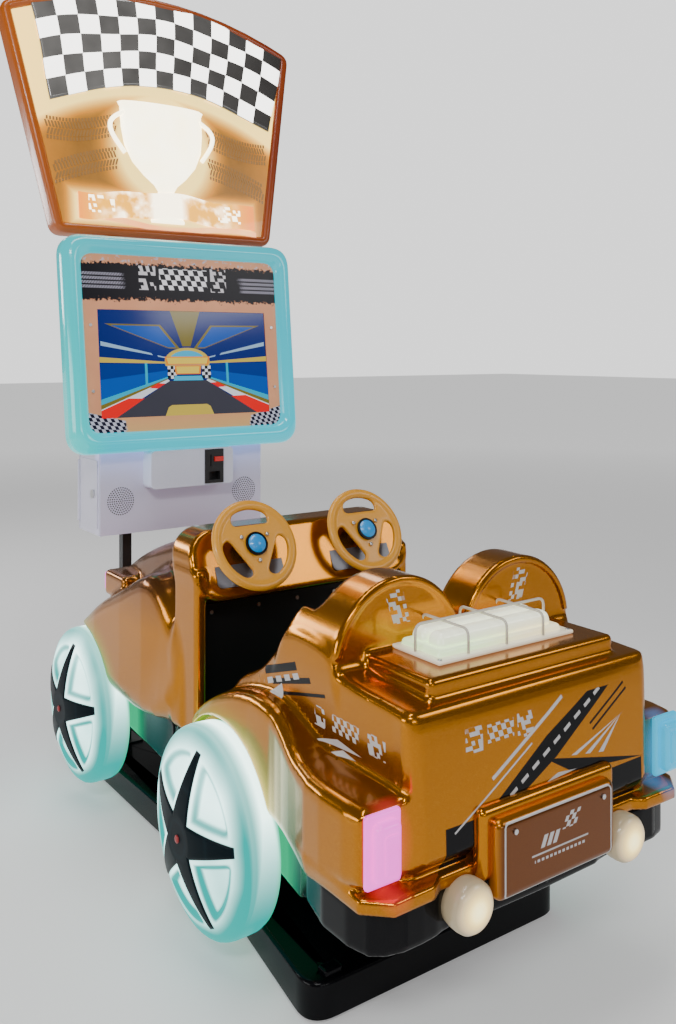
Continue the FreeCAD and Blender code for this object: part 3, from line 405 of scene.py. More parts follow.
def filleted(corners, radius, steps=10):
    """A closed 2D outline with each corner rounded; radius is a number or one for each corner."""
    out = []
    for i, here in enumerate(corners):
        r = radius[i] if isinstance(radius, (list, tuple)) else radius
        here = Vector(here)
        back = (Vector(corners[i - 1]) - here)
        ahead = (Vector(corners[(i + 1) % len(corners)]) - here)
        if r <= 0:
            out.append(tuple(here))
            continue
        half = back.angle(ahead) / 2
        run = min(r / math.tan(half), back.length * 0.49, ahead.length * 0.49)
        start, end = here + back.normalized() * run, here + ahead.normalized() * run
        for k in range(steps + 1):
            t = k / steps
            bend = start * (1 - t) ** 2 + here * (2 * t * (1 - t)) + end * t ** 2
            out.append(tuple(bend))
    return out


def shrunk(outline, inset):
    """An outline moved inwards; the outline runs anticlockwise."""
    pts = np.array(outline, float)
    ahead = np.roll(pts, -1, 0) - np.roll(pts, 1, 0)
    ahead /= np.linalg.norm(ahead, axis=1)[:, None] + 1e-9
    return pts + np.stack([-ahead[:, 1], ahead[:, 0]], 1) * inset


# ---------------------------------------------------------------- blended solids

def blend_min(a, b, k):
    """The union of two fields, with a fillet about k wide."""
    h = np.clip(0.5 + 0.5 * (b - a) / k, 0, 1)
    return b * (1 - h) + a * h - k * h * (1 - h)


def blend_max(a, b, k):
    """The overlap of two fields, with a fillet about k wide."""
    return -blend_min(-a, -b, k)


def polygon_distance(u, v, points):
    """Signed distance in the plane from a polygon, negative inside."""
    best, inside = None, None
    for (u0, v0), (u1, v1) in zip(points, points[1:] + points[:1]):
        eu, ev = u1 - u0, v1 - v0
        du, dv = u - u0, v - v0
        t = np.clip((du * eu + dv * ev) / (eu * eu + ev * ev + 1e-9), 0, 1)
        gap = (du - eu * t) ** 2 + (dv - ev * t) ** 2
        best = gap if best is None else np.minimum(best, gap)
        crosses = ((v0 > v) != (v1 > v)) & (du < eu * (v - v0) / (ev if ev else 1e-9))
        inside = crosses if inside is None else inside ^ crosses
    return np.where(inside, -1, 1) * np.sqrt(best)


def eased(points, times=2):
    """A closed outline with its corners cut, for a flowing curve."""
    for _ in range(times):
        cut = []
        for (u0, v0), (u1, v1) in zip(points, points[1:] + points[:1]):
            cut.append((u0 * 0.75 + u1 * 0.25, v0 * 0.75 + v1 * 0.25))
            cut.append((u0 * 0.25 + u1 * 0.75, v0 * 0.25 + v1 * 0.75))
        points = cut
    return points


def box_distance(x, y, z, low, high, r):
    """A box with edges rounded by r."""
    gaps = []
    for value, lo, hi in zip((x, y, z), low, high):
        gaps.append(np.abs(value - (lo + hi) / 2) - (hi - lo) / 2 + r)
    outside = sum(np.maximum(g, 0) ** 2 for g in gaps) ** 0.5
    return outside + np.minimum(np.maximum(np.maximum(gaps[0], gaps[1]), gaps[2]), 0) - r


def skinned(field, low, high, step):
    """Quads over the zero surface of field, with the vertices settled onto it."""
    axes = [np.arange(lo, hi + step, step) for lo, hi in zip(low, high)]
    x, y, z = np.meshgrid(*axes, indexing="ij", sparse=True)
    values = np.broadcast_to(field(x, y, z), [len(a) for a in axes])
    inside = values < 0
    nx, ny, nz = values.shape
    count = np.zeros((nx - 1, ny - 1, nz - 1), np.int8)
    for i in (0, 1):
        for j in (0, 1):
            for k in (0, 1):
                count += inside[i:nx - 1 + i, j:ny - 1 + j, k:nz - 1 + k]
    active = (count > 0) & (count < 8)
    index = np.full(active.shape, -1)
    index[active] = np.arange(active.sum())
    cells = np.argwhere(active)
    verts = np.array(low) + (cells + 0.5) * step
    quads = []
    for axis in range(3):
        ahead = [slice(None)] * 3
        ahead[axis] = slice(1, None)
        here = [slice(None)] * 3
        here[axis] = slice(None, -1)
        flips = inside[tuple(here)] != inside[tuple(ahead)]
        spots = np.argwhere(flips)
        b, c = [a for a in range(3) if a != axis]
        keep = (spots[:, b] > 0) & (spots[:, c] > 0)
        keep &= (spots[:, b] < values.shape[b] - 1) & (spots[:, c] < values.shape[c] - 1)
        spots = spots[keep]
        corners = []
        for db, dc in ((0, 0), (1, 0), (1, 1), (0, 1)):
            at = spots.copy()
            at[:, b] -= db
            at[:, c] -= dc
            corners.append(index[at[:, 0], at[:, 1], at[:, 2]])
        quads.append(np.stack(corners, 1))
    quads = np.concatenate(quads)
    quads = quads[(quads >= 0).all(1)]
    start = verts.copy()
    for _ in range(6):
        here = field(*verts.T)
        slope = np.stack([field(*(verts + e).T) - field(*(verts - e).T)
                          for e in np.eye(3) * 0.5], 1)
        size = (slope ** 2).sum(1) + 1e-6
        verts = verts - slope * (here / size)[:, None] * 0.8
        verts = np.clip(verts, start - step * 0.9, start + step * 0.9)
    return verts, quads.tolist()


def moulding(name, field, low, high, step, material, body, slot, replaces=()):
    """A mirrored moulded shell from a field of distance."""
    def mirrored(x, y, z):
        return field(np.abs(x), y, z)
    verts, faces = skinned(mirrored, (-high, low[0], low[1]), (high, low[2], low[3]), step)
    return piece(name, verts, faces, material, body, slot, replaces)


# ---------------------------------------------------------------- the car's gold body

BLACK_GLOSS = plain("black_gloss", (0.003, 0.003, 0.004), 0.2, grain=8,
                    Specular_IOR_Level=0.12)
AXLE_REAR, AXLE_FRONT, AXLE_Z = 273.0, 1008.0, 224.0
WHEEL_R, DOME_DROP, WHEEL_GAP = 180.0, 45.0, 9.0
ARCH_X, ARCH_Z, ARCH_R = 134.0, 574.0, 132.0
BOOT_SIDE = eased([(-240, 300), (-232, 430), (-224, 556), (-200, 560), (-34, 566), (-20, 600),
                   (60, 610), (100, 604), (139, 572), (176, 538), (210, 512), (279, 482),
                   (304, 452), (322, 405), (332, 345), (340, 300)])
BOOT_PLAN = eased([(-300, -240), (238, -240), (264, -216), (262, -170), (262, 500), (-300, 500)],
                  1)
REAR_CREST = eased([(437, 300), (436, 316), (424, 352), (402, 386), (366, 414), (320, 440),
                    (270, 463), (215, 481), (150, 490), (95, 485), (45, 467), (5, 451),
                    (-40, 444), (-213, 443), (-222, 436), (-222, 300)], 1)
REAR_PLAN = eased([(-100, -222), (330, -222), (348, -206), (349, -90), (332, -20), (309, 60),
                   (301, 110), (300, 380), (284, 437), (-100, 437)], 1)
LIP_PLAN = [(-300, -229), (212, -229), (232, -242), (306, -244), (343, -208), (343, -78),
            (316, -10), (276, 85), (268, 110), (268, 338), (-300, 338)]


def wheel_room(x, y, z, inner_x, axle_y):
    """The drum of space round a road wheel."""
    drum = np.sqrt((y - axle_y) ** 2 + (z - AXLE_Z) ** 2) - WHEEL_R - WHEEL_GAP
    return blend_max(drum, inner_x - x, 6)


def rear_body(x, y, z):
    boot = blend_max(polygon_distance(y, z, BOOT_SIDE),
                     polygon_distance(x + (550 - z) * 0.02, y, BOOT_PLAN), 16)
    deck = box_distance(x, y, z, (-204, -196, 520), (204, 10, 591), 9)
    body = blend_min(boot, deck, 12)
    rim = np.sqrt((x - ARCH_X) ** 2 + (z - ARCH_Z) ** 2)
    slab = np.maximum(-36 - y, (y - 66 - (706 - z) * 0.45) * 0.91)
    arch = blend_max(rim - ARCH_R, slab, 9)
    bead = np.sqrt((rim - ARCH_R + 7) ** 2 + (y + 34) ** 2) - 7
    bead = np.maximum(bead, 592 - z)
    body = blend_min(body, arch, 14)
    body = blend_min(body, bead, 3)
    crest = blend_max(polygon_distance(y, z, REAR_CREST), polygon_distance(x, y, REAR_PLAN), 24)
    body = blend_min(body, crest, 14)
    lip = blend_max(polygon_distance(x, y, LIP_PLAN), np.abs(z - 311) - 11, 6)
    body = blend_min(body, lip, 14)
    body = blend_max(body, -wheel_room(x, y, z, 270, AXLE_REAR), 5)
    bay = box_distance(x, y, z, (-238, 42, 386), (238, 290, 900), 16)
    well = box_distance(x, y, z, (-238, 296, 100), (238, 900, 900), 10)
    body = blend_max(body, -np.minimum(bay, well), 9)
    return np.maximum(body, 300.5 - z)


HOOD_SIDE = eased([(500, 300), (500, 600), (520, 694), (560, 690), (640, 672), (740, 644),
                   (812, 622), (900, 590), (983, 549), (1030, 500), (1058, 430), (1066, 300)])
HOOD_PLAN = eased([(-300, 492), (232, 492), (228, 560), (216, 640), (196, 812), (172, 983),
                   (158, 1066), (-300, 1066)], 1)
WING_CREST = eased([(1188, 300), (1182, 340), (1130, 380), (1030, 430), (930, 487), (810, 538),
                    (700, 588), (650, 602), (604, 590), (560, 546), (507, 474), (486, 392),
                    (481, 334), (480, 300)], 1)
WING_PLAN = eased([(-50, 480), (264, 480), (270, 560), (285, 700), (285, 1000), (264, 1125),
                   (225, 1188), (-50, 1188)], 1)
DASH_LEAN = math.tan(math.radians(23))


def front_body(x, y, z):
    hood = blend_max(polygon_distance(y, z, HOOD_SIDE),
                     polygon_distance(x + (z - 600) * 0.22, y, HOOD_PLAN), 30)
    face = (437 + (z - 600) * DASH_LEAN - y) * math.cos(math.atan(DASH_LEAN))
    dash = blend_max(np.maximum(face, y - 545 - (z - 600) * 0.15),
                     box_distance(x, 0 * y, z, (-264, -999, 578), (264, 999, 711), 56), 9)
    column = box_distance(x, y, z, (239, 440, 322), (264, 540, 640), 8)
    body = blend_min(hood, dash, 16)
    body = blend_min(body, column, 10)
    wing = blend_max(polygon_distance(y, z, WING_CREST), polygon_distance(x, y, WING_PLAN), 44)
    wing = np.maximum(wing, 140 - x)
    body = blend_min(body, wing, 24)
    pod = box_distance(x, y, z, (184, 850, 490), (244, 968, 550), 12)
    body = blend_min(body, pod, 16)
    kick = box_distance(x, y, z, (-238, 300, 100), (238, 489, 573), 4)
    body = blend_max(body, -kick, 6)
    body = blend_max(body, -wheel_room(x, y, z, 226, AXLE_FRONT), 5)
    return np.maximum(body, 300.5 - z)


def stroke(p, q, half):
    """A thin quadrilateral from p to q, anticlockwise."""
    du, dv = q[0] - p[0], q[1] - p[1]
    size = math.hypot(du, dv) / half
    nu, nv = -dv / size, du / size
    return ((p[0] - nu, p[1] - nv), (q[0] - nu, q[1] - nv), (q[0] + nu, q[1] + nv),
            (p[0] + nu, p[1] + nv))


def patches(g, u, v, *shapes):
    """The mask of several convex shapes, turned anticlockwise."""
    masks = []
    for shape in shapes:
        area = sum(p[0] * q[1] - q[0] * p[1] for p, q in zip(shape, shape[1:] + shape[:1]))
        masks.append(g.polygon(list(shape if area > 0 else shape[::-1]), u, v))
    return g.either(*masks)


def back_livery(g, x, z):
    """A black road climbing to the right, its silver dashes, and pinstripes on both sides."""
    slope = math.radians(30)
    run = (x - 16) * math.cos(slope) + (z - 456) * math.sin(slope)
    off = (z - 456) * math.cos(slope) - (x - 16) * math.sin(slope)
    width = 21 - abs(run) * 0.06
    road = g.under(abs(off) - width, 0) * g.between(z, 393, 523)
    corners = g.over(abs(x), 150) * g.between(x, -204, 233) * g.under(z, 388)
    arm = patches(g, x, z, ((0, 440), (60, 406), (236, 389)))
    right_lines = g.either(g.between(off, -34, -30), g.between(off, -46, -42))
    right_lines = right_lines * g.between(run, 85, 185)
    black = g.either(road, corners * g.over(z, 325), arm, right_lines)
    dashes = g.over(g.fract(run / 28 + 8.2), 0.42, 0.02) * g.between(off, -3, 3)
    left_lines = g.between(run, -215, -30) * g.between(off, 32, 35)
    left_lines = g.either(left_lines, g.between(run, -120, 60) * g.between(off, 44, 50))
    darts = [((60 + 32 * k, 431 - 5 * k), (72 + 32 * k, 429 - 5 * k), (182, 470))
             for k in range(3)]
    darts += [((-30 + 30 * k, 394 + 9 * k), (40 + 30 * k, 399 + 9 * k), (-2 + 30 * k, 403 + 9 * k))
              for k in range(2)]
    flags = g.scatter(x + z * 0.25, z, 6.5, 0.5) * g.between(z, 483, 520)
    flags = flags * g.either(g.between(x, -162, -128), g.between(x, -56, -22))
    strip = g.chequer(x + z * 0.3, z, 9.0) * g.between(z, 490, 517) * g.between(x, -118, -64)
    silver = g.either(dashes * road, left_lines, patches(g, x, z, *darts), flags, strip)
    return black, silver


def flank_livery(g, y, z):
    """Falling black bars with silver dashes, over a chequered strip."""
    bars = [stroke((70 - 40 * k, 556 - 14 * k), (180 - 25 * k, 520 - 13 * k), 7 - 2 * k)
            for k in range(3)]
    dashes = [stroke((66 + 29 * k, 540 - 10 * k), (84 + 29 * k, 534 - 10 * k), 5)
              for k in range(4)]
    darts = [((-105 + 15 * k, 462 - 10 * k), (20 - 40 * k, 453 - 9 * k),
              (-40 - 15 * k, 469 - 12 * k)) for k in range(2)]
    darts.append(((115, 484), (156, 491), (124, 512)))
    marks = g.scatter(y - z * 0.3, z, 7.0, 0.45) * g.between(z, 474, 506)
    marks = marks * g.either(g.between(y, -164, -120), g.between(y, -6, 24))
    band = g.chequer(y - z * 0.3, z, 9.0) * g.between(z, 478, 505) * g.between(y, -98, -26)
    silver = g.either(patches(g, y, z, *dashes, *darts), marks, band)
    return patches(g, y, z, *bars), silver


def rear_decals(g, x, y, z):
    """Black and silver film on the boot's rear face, its sides and the headrests."""
    nx, ny, _ = g.facing()
    across = abs(x)
    back = g.under(ny, -0.6, 0.05) * g.under(y, -205)
    flank = g.over(abs(nx), 0.5, 0.05) * g.over(across, 236)
    arches = g.under(ny, -0.6, 0.05) * g.between(y, -50, -20)
    spot = g.polygon([(112, 628), (146, 628), (166, 684), (128, 684)], across, z)
    spot = spot * g.scatter(across - z * 0.3, z, 7.0, 0.42)
    back_black, back_silver = back_livery(g, x, z)
    side_black, side_silver = flank_livery(g, y, z)
    black = g.either(back_black * back, side_black * flank)
    silver = g.either(back_silver * back, side_silver * flank, spot * arches)
    return black, silver


def rear_shade(g, x, y, z):
    """Painted shade: browner inside the tub, where shade falls, and a random browner tone all
    over.
    """
    inside = g.between(y, 30, 480) * g.under(abs(x), 238) * g.under(z, 540, 30)
    return g.either(inside * 0.75, g.noise(4, 2.0) * 0.3)


def rear_light(g, x, y, z):
    """Painted light: the wheels' lime light and the lamps' pink and blue light, glowing on the
    gold.
    """
    wheel = wheel_light(g, x, y, z, AXLE_REAR, 262) * (1 - g.ramp(z, 300, 470) * 0.85)
    side = abs(x)
    gap = g.root((side - 296) * (side - 296) * 1.6 + (z - 380) * (z - 380) * 0.35)
    lamp = (1 - g.ramp(gap, 22, 52)) * g.under(y, -196, 8) * g.over(side, 240, 12)
    colour = g.mix(g.over(x, 0, 1), (1.0, 0.02, 0.06), (0.02, 0.35, 0.9))
    colour = g.mix(g.over(y, -100, 40), colour, (0.20, 0.58, 0.0))
    return colour, wheel * 0.85 + lamp * 0.6


def front_decals(g, x, y, z):
    """Silver streaks over the hood and the wings."""
    _, _, nz = g.facing()
    top = g.over(nz, 0.2, 0.05)
    across = abs(x)
    streaks = patches(g, across, y, stroke((196, 640), (150, 700), 1.6),
                      stroke((204, 650), (160, 712), 1.2), stroke((190, 620), (128, 700), 1.0),
                      ((205, 540), (214, 540), (218, 610), (202, 610)))
    black = patches(g, across, y, ((60, 640), (120, 620), (128, 700), (70, 740)))
    return black * top * 0.6, streaks * top


def front_shade(g, x, y, z):
    """Painted shade: darker and browner over the hood, as its top turns to the screen, and a
    little over a band across the dash; a random browner tone all over.
    """
    hood = g.over(y, 560, 40) * g.over(z, 520, 60)
    inner = g.under(abs(x), 244, 4) * g.between(y, 470, 520, 12)
    return g.either(hood * 0.9, inner * 0.25, g.noise(4, 2.0) * 0.3)


def front_light(g, x, y, z):
    """Painted light: the wheels' green light, glowing on the wings."""
    wheel = wheel_light(g, x, y, z, AXLE_FRONT, 216) * (1 - g.ramp(z, 320, 480) * 0.8)
    return g.mix(g.ramp(z, 300, 420), (0.0, 0.60, 0.18), (0.20, 0.58, 0.0)), wheel * 0.85


STEP = 5.0
SKIRT_PLAN = eased([(-300, -225), (120, -225), (150, -216), (190, -216), (222, -225),
                    (292, -225), (332, -196), (334, -75), (262, 72), (249, 480), (220, 815),
                    (210, 1030), (176, 1056), (-300, 1056)], 1)
SKIRT_SIDE = [(-400, 232), (-30, 232), (40, 191), (1300, 191), (1300, 300), (-400, 300)]


def skirt_body(x, y, z):
    skirt = blend_max(polygon_distance(x, y, SKIRT_PLAN), polygon_distance(y, z, SKIRT_SIDE), 9)
    tub = box_distance(x, y, z, (-236, 312, 213), (236, 600, 500), 10)
    return blend_max(skirt, -tub, 6)


def skirt_paint():
    """Black gloss, with painted green light beside the road wheels."""
    g = Graph("skirt_black", BLACK, Roughness=0.16, Specular_IOR_Level=0.12)
    x, y, z = g.place()
    rear = wheel_light(g, x, y, z, AXLE_REAR, 190)
    front = wheel_light(g, x, y, z, AXLE_FRONT, 180)
    g.set("Roughness", g.noise(60, 2.0) * 0.06 + 0.14)
    g.set("Emission Color", (0.0, 0.60, 0.24, 1))
    g.set("Emission Strength", g.either(rear, front) * 0.9)
    return g.material


def base_body():
    """The plinth's pressed cover, with rounded corners and a raised panel."""
    outline = filleted([(-287, 0), (287, 0), (212, 500), (212, 1215), (-212, 1215), (-212, 500)],
                       [46, 46, 60, 40, 40, 60], 10)
    profile = [(0, 8), (0, 60), (2, 65), (7, 68), (40, 68), (44, 70.5), (50, 71.5)]
    rings = [[(u, v, z) for u, v in shrunk(outline, inset)] for inset, z in profile]
    piece("base_cover", *lofted(rings), BLACK_GLOSS, "stand", "black_plastic", ("base_shell",),
          angle=50)
    for side, hand in SIDES:
        soft_box("base_lug_" + hand, (side * 232 - 17, 10, 64), (side * 232 + 17, 34, 78), 4,
                 BLACK_GLOSS, "stand", "black_plastic")


REAR_GOLD = gold_paint("gold_rear", rear_decals, rear_shade, rear_light)
FRONT_GOLD = gold_paint("gold_front", front_decals, front_shade, front_light)
moulding("rear_body", rear_body, (-262, 290, 462, 722), 366, STEP, REAR_GOLD, "car",
         "gold_body", ("rear_body_shell",))
moulding("front_body", front_body, (425, 290, 1202, 726), 300, STEP, FRONT_GOLD, "car",
         "gold_body", ("front_body_shell",))
moulding("skirt", skirt_body, (-240, 185, 1062, 304), 340, STEP, skirt_paint(), "car",
         "black_plastic", ("skirt_shell",))
base_body()


# ---------------------------------------------------------------- road wheels

def dome_drop(radius):
    """How far a wheel's face falls back at a radius."""
    sphere = (WHEEL_R ** 2 + DOME_DROP ** 2) / (2 * DOME_DROP)
    return sphere - np.sqrt(sphere ** 2 - radius ** 2)


def smooth_step(low, high, value):
    """0 below low, 1 above high, and a smooth rise between."""
    t = np.clip((value - low) / (high - low), 0, 1)
    return t * t * (3 - 2 * t)


def wheel_material(end, axle_y, hub_x, turn):
    """Milky plastic lit from inside, cyan at its outline, with a blue-black star."""
    g = Graph("wheel_glow_" + end, (0.74, 0.93, 0.92), Roughness=0.36,
              Specular_IOR_Level=0.05)
    x, y, z = g.place()
    u, v = y - axle_y, z - AXLE_Z
    reach = g.root(u * u + v * v)
    # The star's five arms narrow from the hub to their tips.
    star = g.under(reach, 36, 0.8)
    for k in range(5):
        a = turn + k * math.tau / 5
        along = v * math.sin(a) - u * math.cos(a)
        across = abs(v * math.cos(a) + u * math.sin(a))
        arm = g.under(across + along * 0.1637, 33.2, 0.8) * g.between(along, 0, STAR_TIP, 0.8)
        star = g.either(star, arm)
    side = abs(x)
    face = g.over(side, hub_x - 46, 4)
    star = star * face
    low = 1 - g.ramp(v, -150, 150)
    cloud = g.ramp(g.noise(7, 1.5), 0.35, 0.75)
    edge = g.over(side, hub_x - 66, 10)
    outline = g.over(reach, 160, 16) * edge * (low * 0.45 + 0.62)
    border = g.attribute("border") * (low * 0.5 + 0.45)
    inner = 1 - g.ramp(side, hub_x - 108, hub_x - 92)
    far = (1 - face) * g.ramp(v + u * 0.6, -20, -190)
    wash = (cloud * 0.34 + low * 0.34) * face
    hue = g.math("ADD", g.either(outline, border, inner, far), wash, clamp=True)
    glow = g.mix(hue, (0.70, 1.0, 0.95), (0.0, 0.62, 0.56))
    glow = g.mix(inner * 0.8, glow, (0.02, 0.75, 0.30))
    rib = g.under(abs(g.fract(reach / 60) - 0.5), 0.06, 0.05)
    dark = g.mix(rib * 0.5, (0.001, 0.006, 0.009), (0.004, 0.014, 0.020))
    g.set("Base Color", g.mix(star, g.mix(hue, (0.5, 0.7, 0.7), (0.0, 0.04, 0.04)), dark))
    g.set("Emission Color", g.mix(star, glow, (0.0, 0.02, 0.03)))
    g.set("Emission Strength", (1 - star) * (1 - hue) * (1 - hue) * 3.0 + (1 - star) * 0.9)
    return g.material


STAR_TIP = 151.0
HUB_RED = plain("hub_red", (0.30, 0.02, 0.02), 0.4)


def road_wheel(side, hub_x, axle_y, turn):
    """A domed shell with five dished windows between the arms of a raised star."""
    around = 480
    # The last rings turn over the tread and close the back; backs says how deep each one lies.
    tread = [170, 174, 177, 179, 180, 180, 179, 176, 150, 1]
    radii = np.concatenate([np.arange(0.6, 168, 2.5), tread])
    backs = np.array([54.0, 62.0, 76.0, 96.0, 104.0, 108.0, 108.0])
    angles = np.arange(around) * 2 * np.pi / around
    rho, phi = np.meshgrid(radii, angles, indexing="ij")
    local = (phi - turn + np.pi / 5) % (2 * np.pi / 5) - np.pi / 5
    along, across = rho * np.cos(local), np.abs(rho * np.sin(local))
    arm = across - np.interp(along, [0, 38, STAR_TIP], [27, 27, 8.5])
    window = smooth_step(6, 20, arm) * smooth_step(48, 66, rho) * (1 - smooth_step(126, 146, rho))
    border = 4 * window * (1 - window)
    ridge = (1 - smooth_step(-5, 1, arm)) * (1 - smooth_step(145, 151, along))
    drop = dome_drop(np.minimum(rho, 174)) + window * 11 - ridge * 2.2
    drop[-7:] = backs[:, None]
    drop[-9], drop[-8] = 44, 48
    border[-9:] = 0
    x = side * (hub_x - np.maximum(drop, 0))
    y = axle_y - rho * np.cos(phi)
    z = AXLE_Z + rho * np.sin(phi)
    verts = np.stack([x, y, z], -1).reshape(-1, 3)
    rings, n = len(radii), around
    faces = []
    for r in range(rings - 1):
        a, b = r * n, (r + 1) * n
        faces += [(a + i, a + (i + 1) % n, b + (i + 1) % n, b + i) for i in range(n)]
    faces += [tuple(range(n)), tuple(range((rings - 1) * n, rings * n))]
    return verts, faces, {"border": border.ravel()}


def road_wheels():
    """Two wheels at each axle; they are fixed mouldings."""
    for end, hub_x, axle_y, turn in (("rear", 383.0, AXLE_REAR, 0.18),
                                     ("front", 339.0, AXLE_FRONT, 0.21)):
        material = wheel_material(end, axle_y, hub_x, turn)
        for side, hand in SIDES:
            verts, faces, marks = road_wheel(side, hub_x, axle_y, turn)
            names = ("wheel_shells_" + end,) if side < 0 else ()
            wheel = piece(f"wheel_{end}_{hand}", verts, faces, material, "car", "glow_white",
                          names, attributes=marks)
            if side < 0 and end == "rear":
                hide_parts("wheel_stars")
            turned = Matrix.Translation((side * (hub_x - 1), axle_y, AXLE_Z))
            turned @= Matrix.Rotation(side * math.pi / 2, 4, "Y")
            dot = lathed([(7, 0), (7, 2.6), (5, 4), (0.5, 4.4)], 20)
            piece(f"wheel_hub_{end}_{hand}", *moved(dot, turned), HUB_RED, "car", "red_button")


road_wheels()


# ---------------------------------------------------------------- marquee

MARQUEE = PLINTH @ Matrix.Translation((0, 1120 * MM, 1372 * MM))
MARQUEE = MARQUEE @ Matrix.Rotation(math.radians(-8.31), 4, "X")
LOW_HALF, TOP_HALF, SIDE_HIGH, PEAK = 309.0, 424.0, 586.0, 680.0
MARQUEE_DEEP = 56.0


def marquee_outline():
    """Anticlockwise in (x, z): bottom, right side, arched top and left side."""
    bow = []
    for k in range(13):
        t = k / 12
        x = TOP_HALF * (1 - 2 * t)
        bow.append((x, SIDE_HIGH + (PEAK - SIDE_HIGH) * (1 - (x / TOP_HALF) ** 2)))
    corners = [(-LOW_HALF, 0), (LOW_HALF, 0)] + bow
    radii = [34, 34] + [34] + [0] * 11 + [34]
    return filleted(corners, radii, 8)


def on_plane(outline, depth):
    """A 2D outline in a panel's plane, at a depth behind it."""
    return [(u, depth, v) for u, v in outline]


def on_marquee(name, solid, material, **options):
    """One piece of the marquee's print."""
    piece(name, *solid, material, "stand", "marquee_print", (), MARQUEE, **options)


def marquee():
    """The rim and its lit print, with the raised prints on it."""
    outline = marquee_outline()
    profile = [(8, MARQUEE_DEEP), (1, MARQUEE_DEEP - 4), (0, MARQUEE_DEEP - 12), (0, 12), (2, 5),
               (7, 1), (13, 0), (20, 2), (25, 7), (28, 14)]
    rings = [on_plane(shrunk(outline, inset), depth) for inset, depth in profile]
    g = Graph("marquee_rim", (0.42, 0.10, 0.008), Roughness=0.3, Coat_Weight=0.2)
    x, _, _ = g.place()
    warm = g.ramp(g.noise(5, 1.0) * 0.4 + g.ramp(x, 400, -420) * 0.5, 0.1, 0.8)
    g.set("Base Color", g.mix(warm, (0.12, 0.012, 0.001), (0.30, 0.07, 0.003)))
    g.set("Emission Color", g.mix(warm, (0.20, 0.012, 0.001), (0.60, 0.13, 0.004)))
    g.set("Emission Strength", 0.28)
    piece("marquee_rim", *lofted(rings, True, True), g.material, "stand", "marquee_trim",
          ("marquee_housing", "marquee_face"), MARQUEE, angle=50)
    face = on_plane(shrunk(outline, 27), 10.5)
    back = on_plane(shrunk(outline, 27), 13.5)
    on_marquee("marquee_print", lofted([face, back]), marquee_print(), angle=40)
    marquee_flag()
    marquee_cup()
    marquee_banner()
    marquee_tracks()


def marquee_print():
    """Tan print, brightest round the flag, the cup and the banner."""
    g = Graph("marquee_print", (0.62, 0.40, 0.20), Roughness=0.3, Coat_Weight=0.4)
    x, _, z = g.place()
    wide, up = abs(x), z - 255
    cup = 1 - g.ramp(g.root(x * x + up * up * 0.8), 128, 205)
    banner = 1 - g.ramp(g.math("MAXIMUM", wide - 262, abs(z - 72) - 42), -10, 34)
    flag = g.ramp(z + x * x * 0.0009, 340, 400)
    glow = g.either(cup, banner, flag)
    streak = g.noise(16, 4.0, rough=0.7)
    tan = g.mix(streak, (0.22, 0.090, 0.012), (0.44, 0.19, 0.030))
    tan = g.mix(g.over(wide, 300, 60) * 0.7, tan, (0.85, 0.30, 0.02))
    halo = g.mix(g.ramp(glow, 0.45, 1.0), (1.0, 0.36, 0.01), (1.0, 0.74, 0.20))
    print_ = g.mix(g.ramp(glow, 0.0, 0.45), tan, halo)
    g.set("Base Color", tan)
    g.set("Emission Color", print_)
    g.set("Emission Strength", glow * glow * 2.2 + 0.34)
    return g.material


def flag_point(u, v):
    """The waving flag: u runs 0 to 1 across and v 0 to 1 down."""
    x_top, x_low = -346 + 744 * u, -304 + 640 * u
    z_top = SIDE_HIGH + (PEAK - SIDE_HIGH) * (1 - (x_top / TOP_HALF) ** 2) - 15
    z_low = 344 + 80 * math.sin(math.pi * u)
    wave = math.sin(u * 15 + v * 1.6) * 5 * math.sin(math.pi * min(1, v + 0.15))
    x = x_top + (x_low - x_top) * v + math.sin(v * 5) * 3
    return (x, 2.0 + math.sin(u * 15 + 0.9) * 2.2, z_top + (z_low - z_top) * v + wave)


def marquee_flag():
    """A waving chequered flag, one quad patch to each square."""
    columns, rows, fine = 13, 5, 6
    across, down = columns * fine, rows * fine
    verts, faces, picks = [], [], []
    for i in range(across + 1):
        for j in range(down + 1):
            verts.append(flag_point(i / across, j / down))
    front = len(verts)
    verts += [(x, y + 5, z) for x, y, z in verts]
    stride = down + 1
    for i in range(across):
        for j in range(down):
            a = i * stride + j
            faces.append((a, a + 1, a + stride + 1, a + stride))
            faces.append((front + a, front + a + stride, front + a + stride + 1, front + a + 1))
            picks += [(i // fine + j // fine) % 2] * 2
    rim = [i * stride for i in range(across + 1)]
    rim += [across * stride + j for j in range(1, stride)]
    rim += [i * stride + down for i in range(across - 1, -1, -1)]
    rim += [j for j in range(down - 1, 0, -1)]
    for a, b in zip(rim, rim[1:] + rim[:1]):
        faces.append((a, b, front + b, front + a))
        picks.append(0)
    g = Graph("flag_black", (0.05, 0.05, 0.055), Roughness=0.2, Coat_Weight=0.8)
    x, _, _ = g.place()
    sheen = g.noise(9, 2.0) * g.ramp(x, 420, -330)
    g.set("Base Color", g.mix(sheen, (0.016, 0.015, 0.015), (0.16, 0.15, 0.14)))
    g.set("Emission Color", g.mix(sheen, (0.03, 0.026, 0.022), (0.30, 0.30, 0.29)))
    g.set("Emission Strength", 0.55)
    black = g.material
    white = glowing("flag_white", (0.9, 0.89, 0.87), (1.0, 0.98, 0.94), 3.4,
                    edge=(1.0, 0.97, 0.9))
    on_marquee("marquee_flag", (verts, faces), [black, white], picks=picks)


CUP_LIT = glowing("cup_lit", (0.98, 0.86, 0.60), (1.0, 0.95, 0.80), 5.0, edge=(1.0, 0.84, 0.42))
BANNER_END = glowing("banner_end", (0.72, 0.25, 0.10), (1.0, 0.60, 0.20), 2.2,
                     edge=(1.0, 0.20, 0.04))


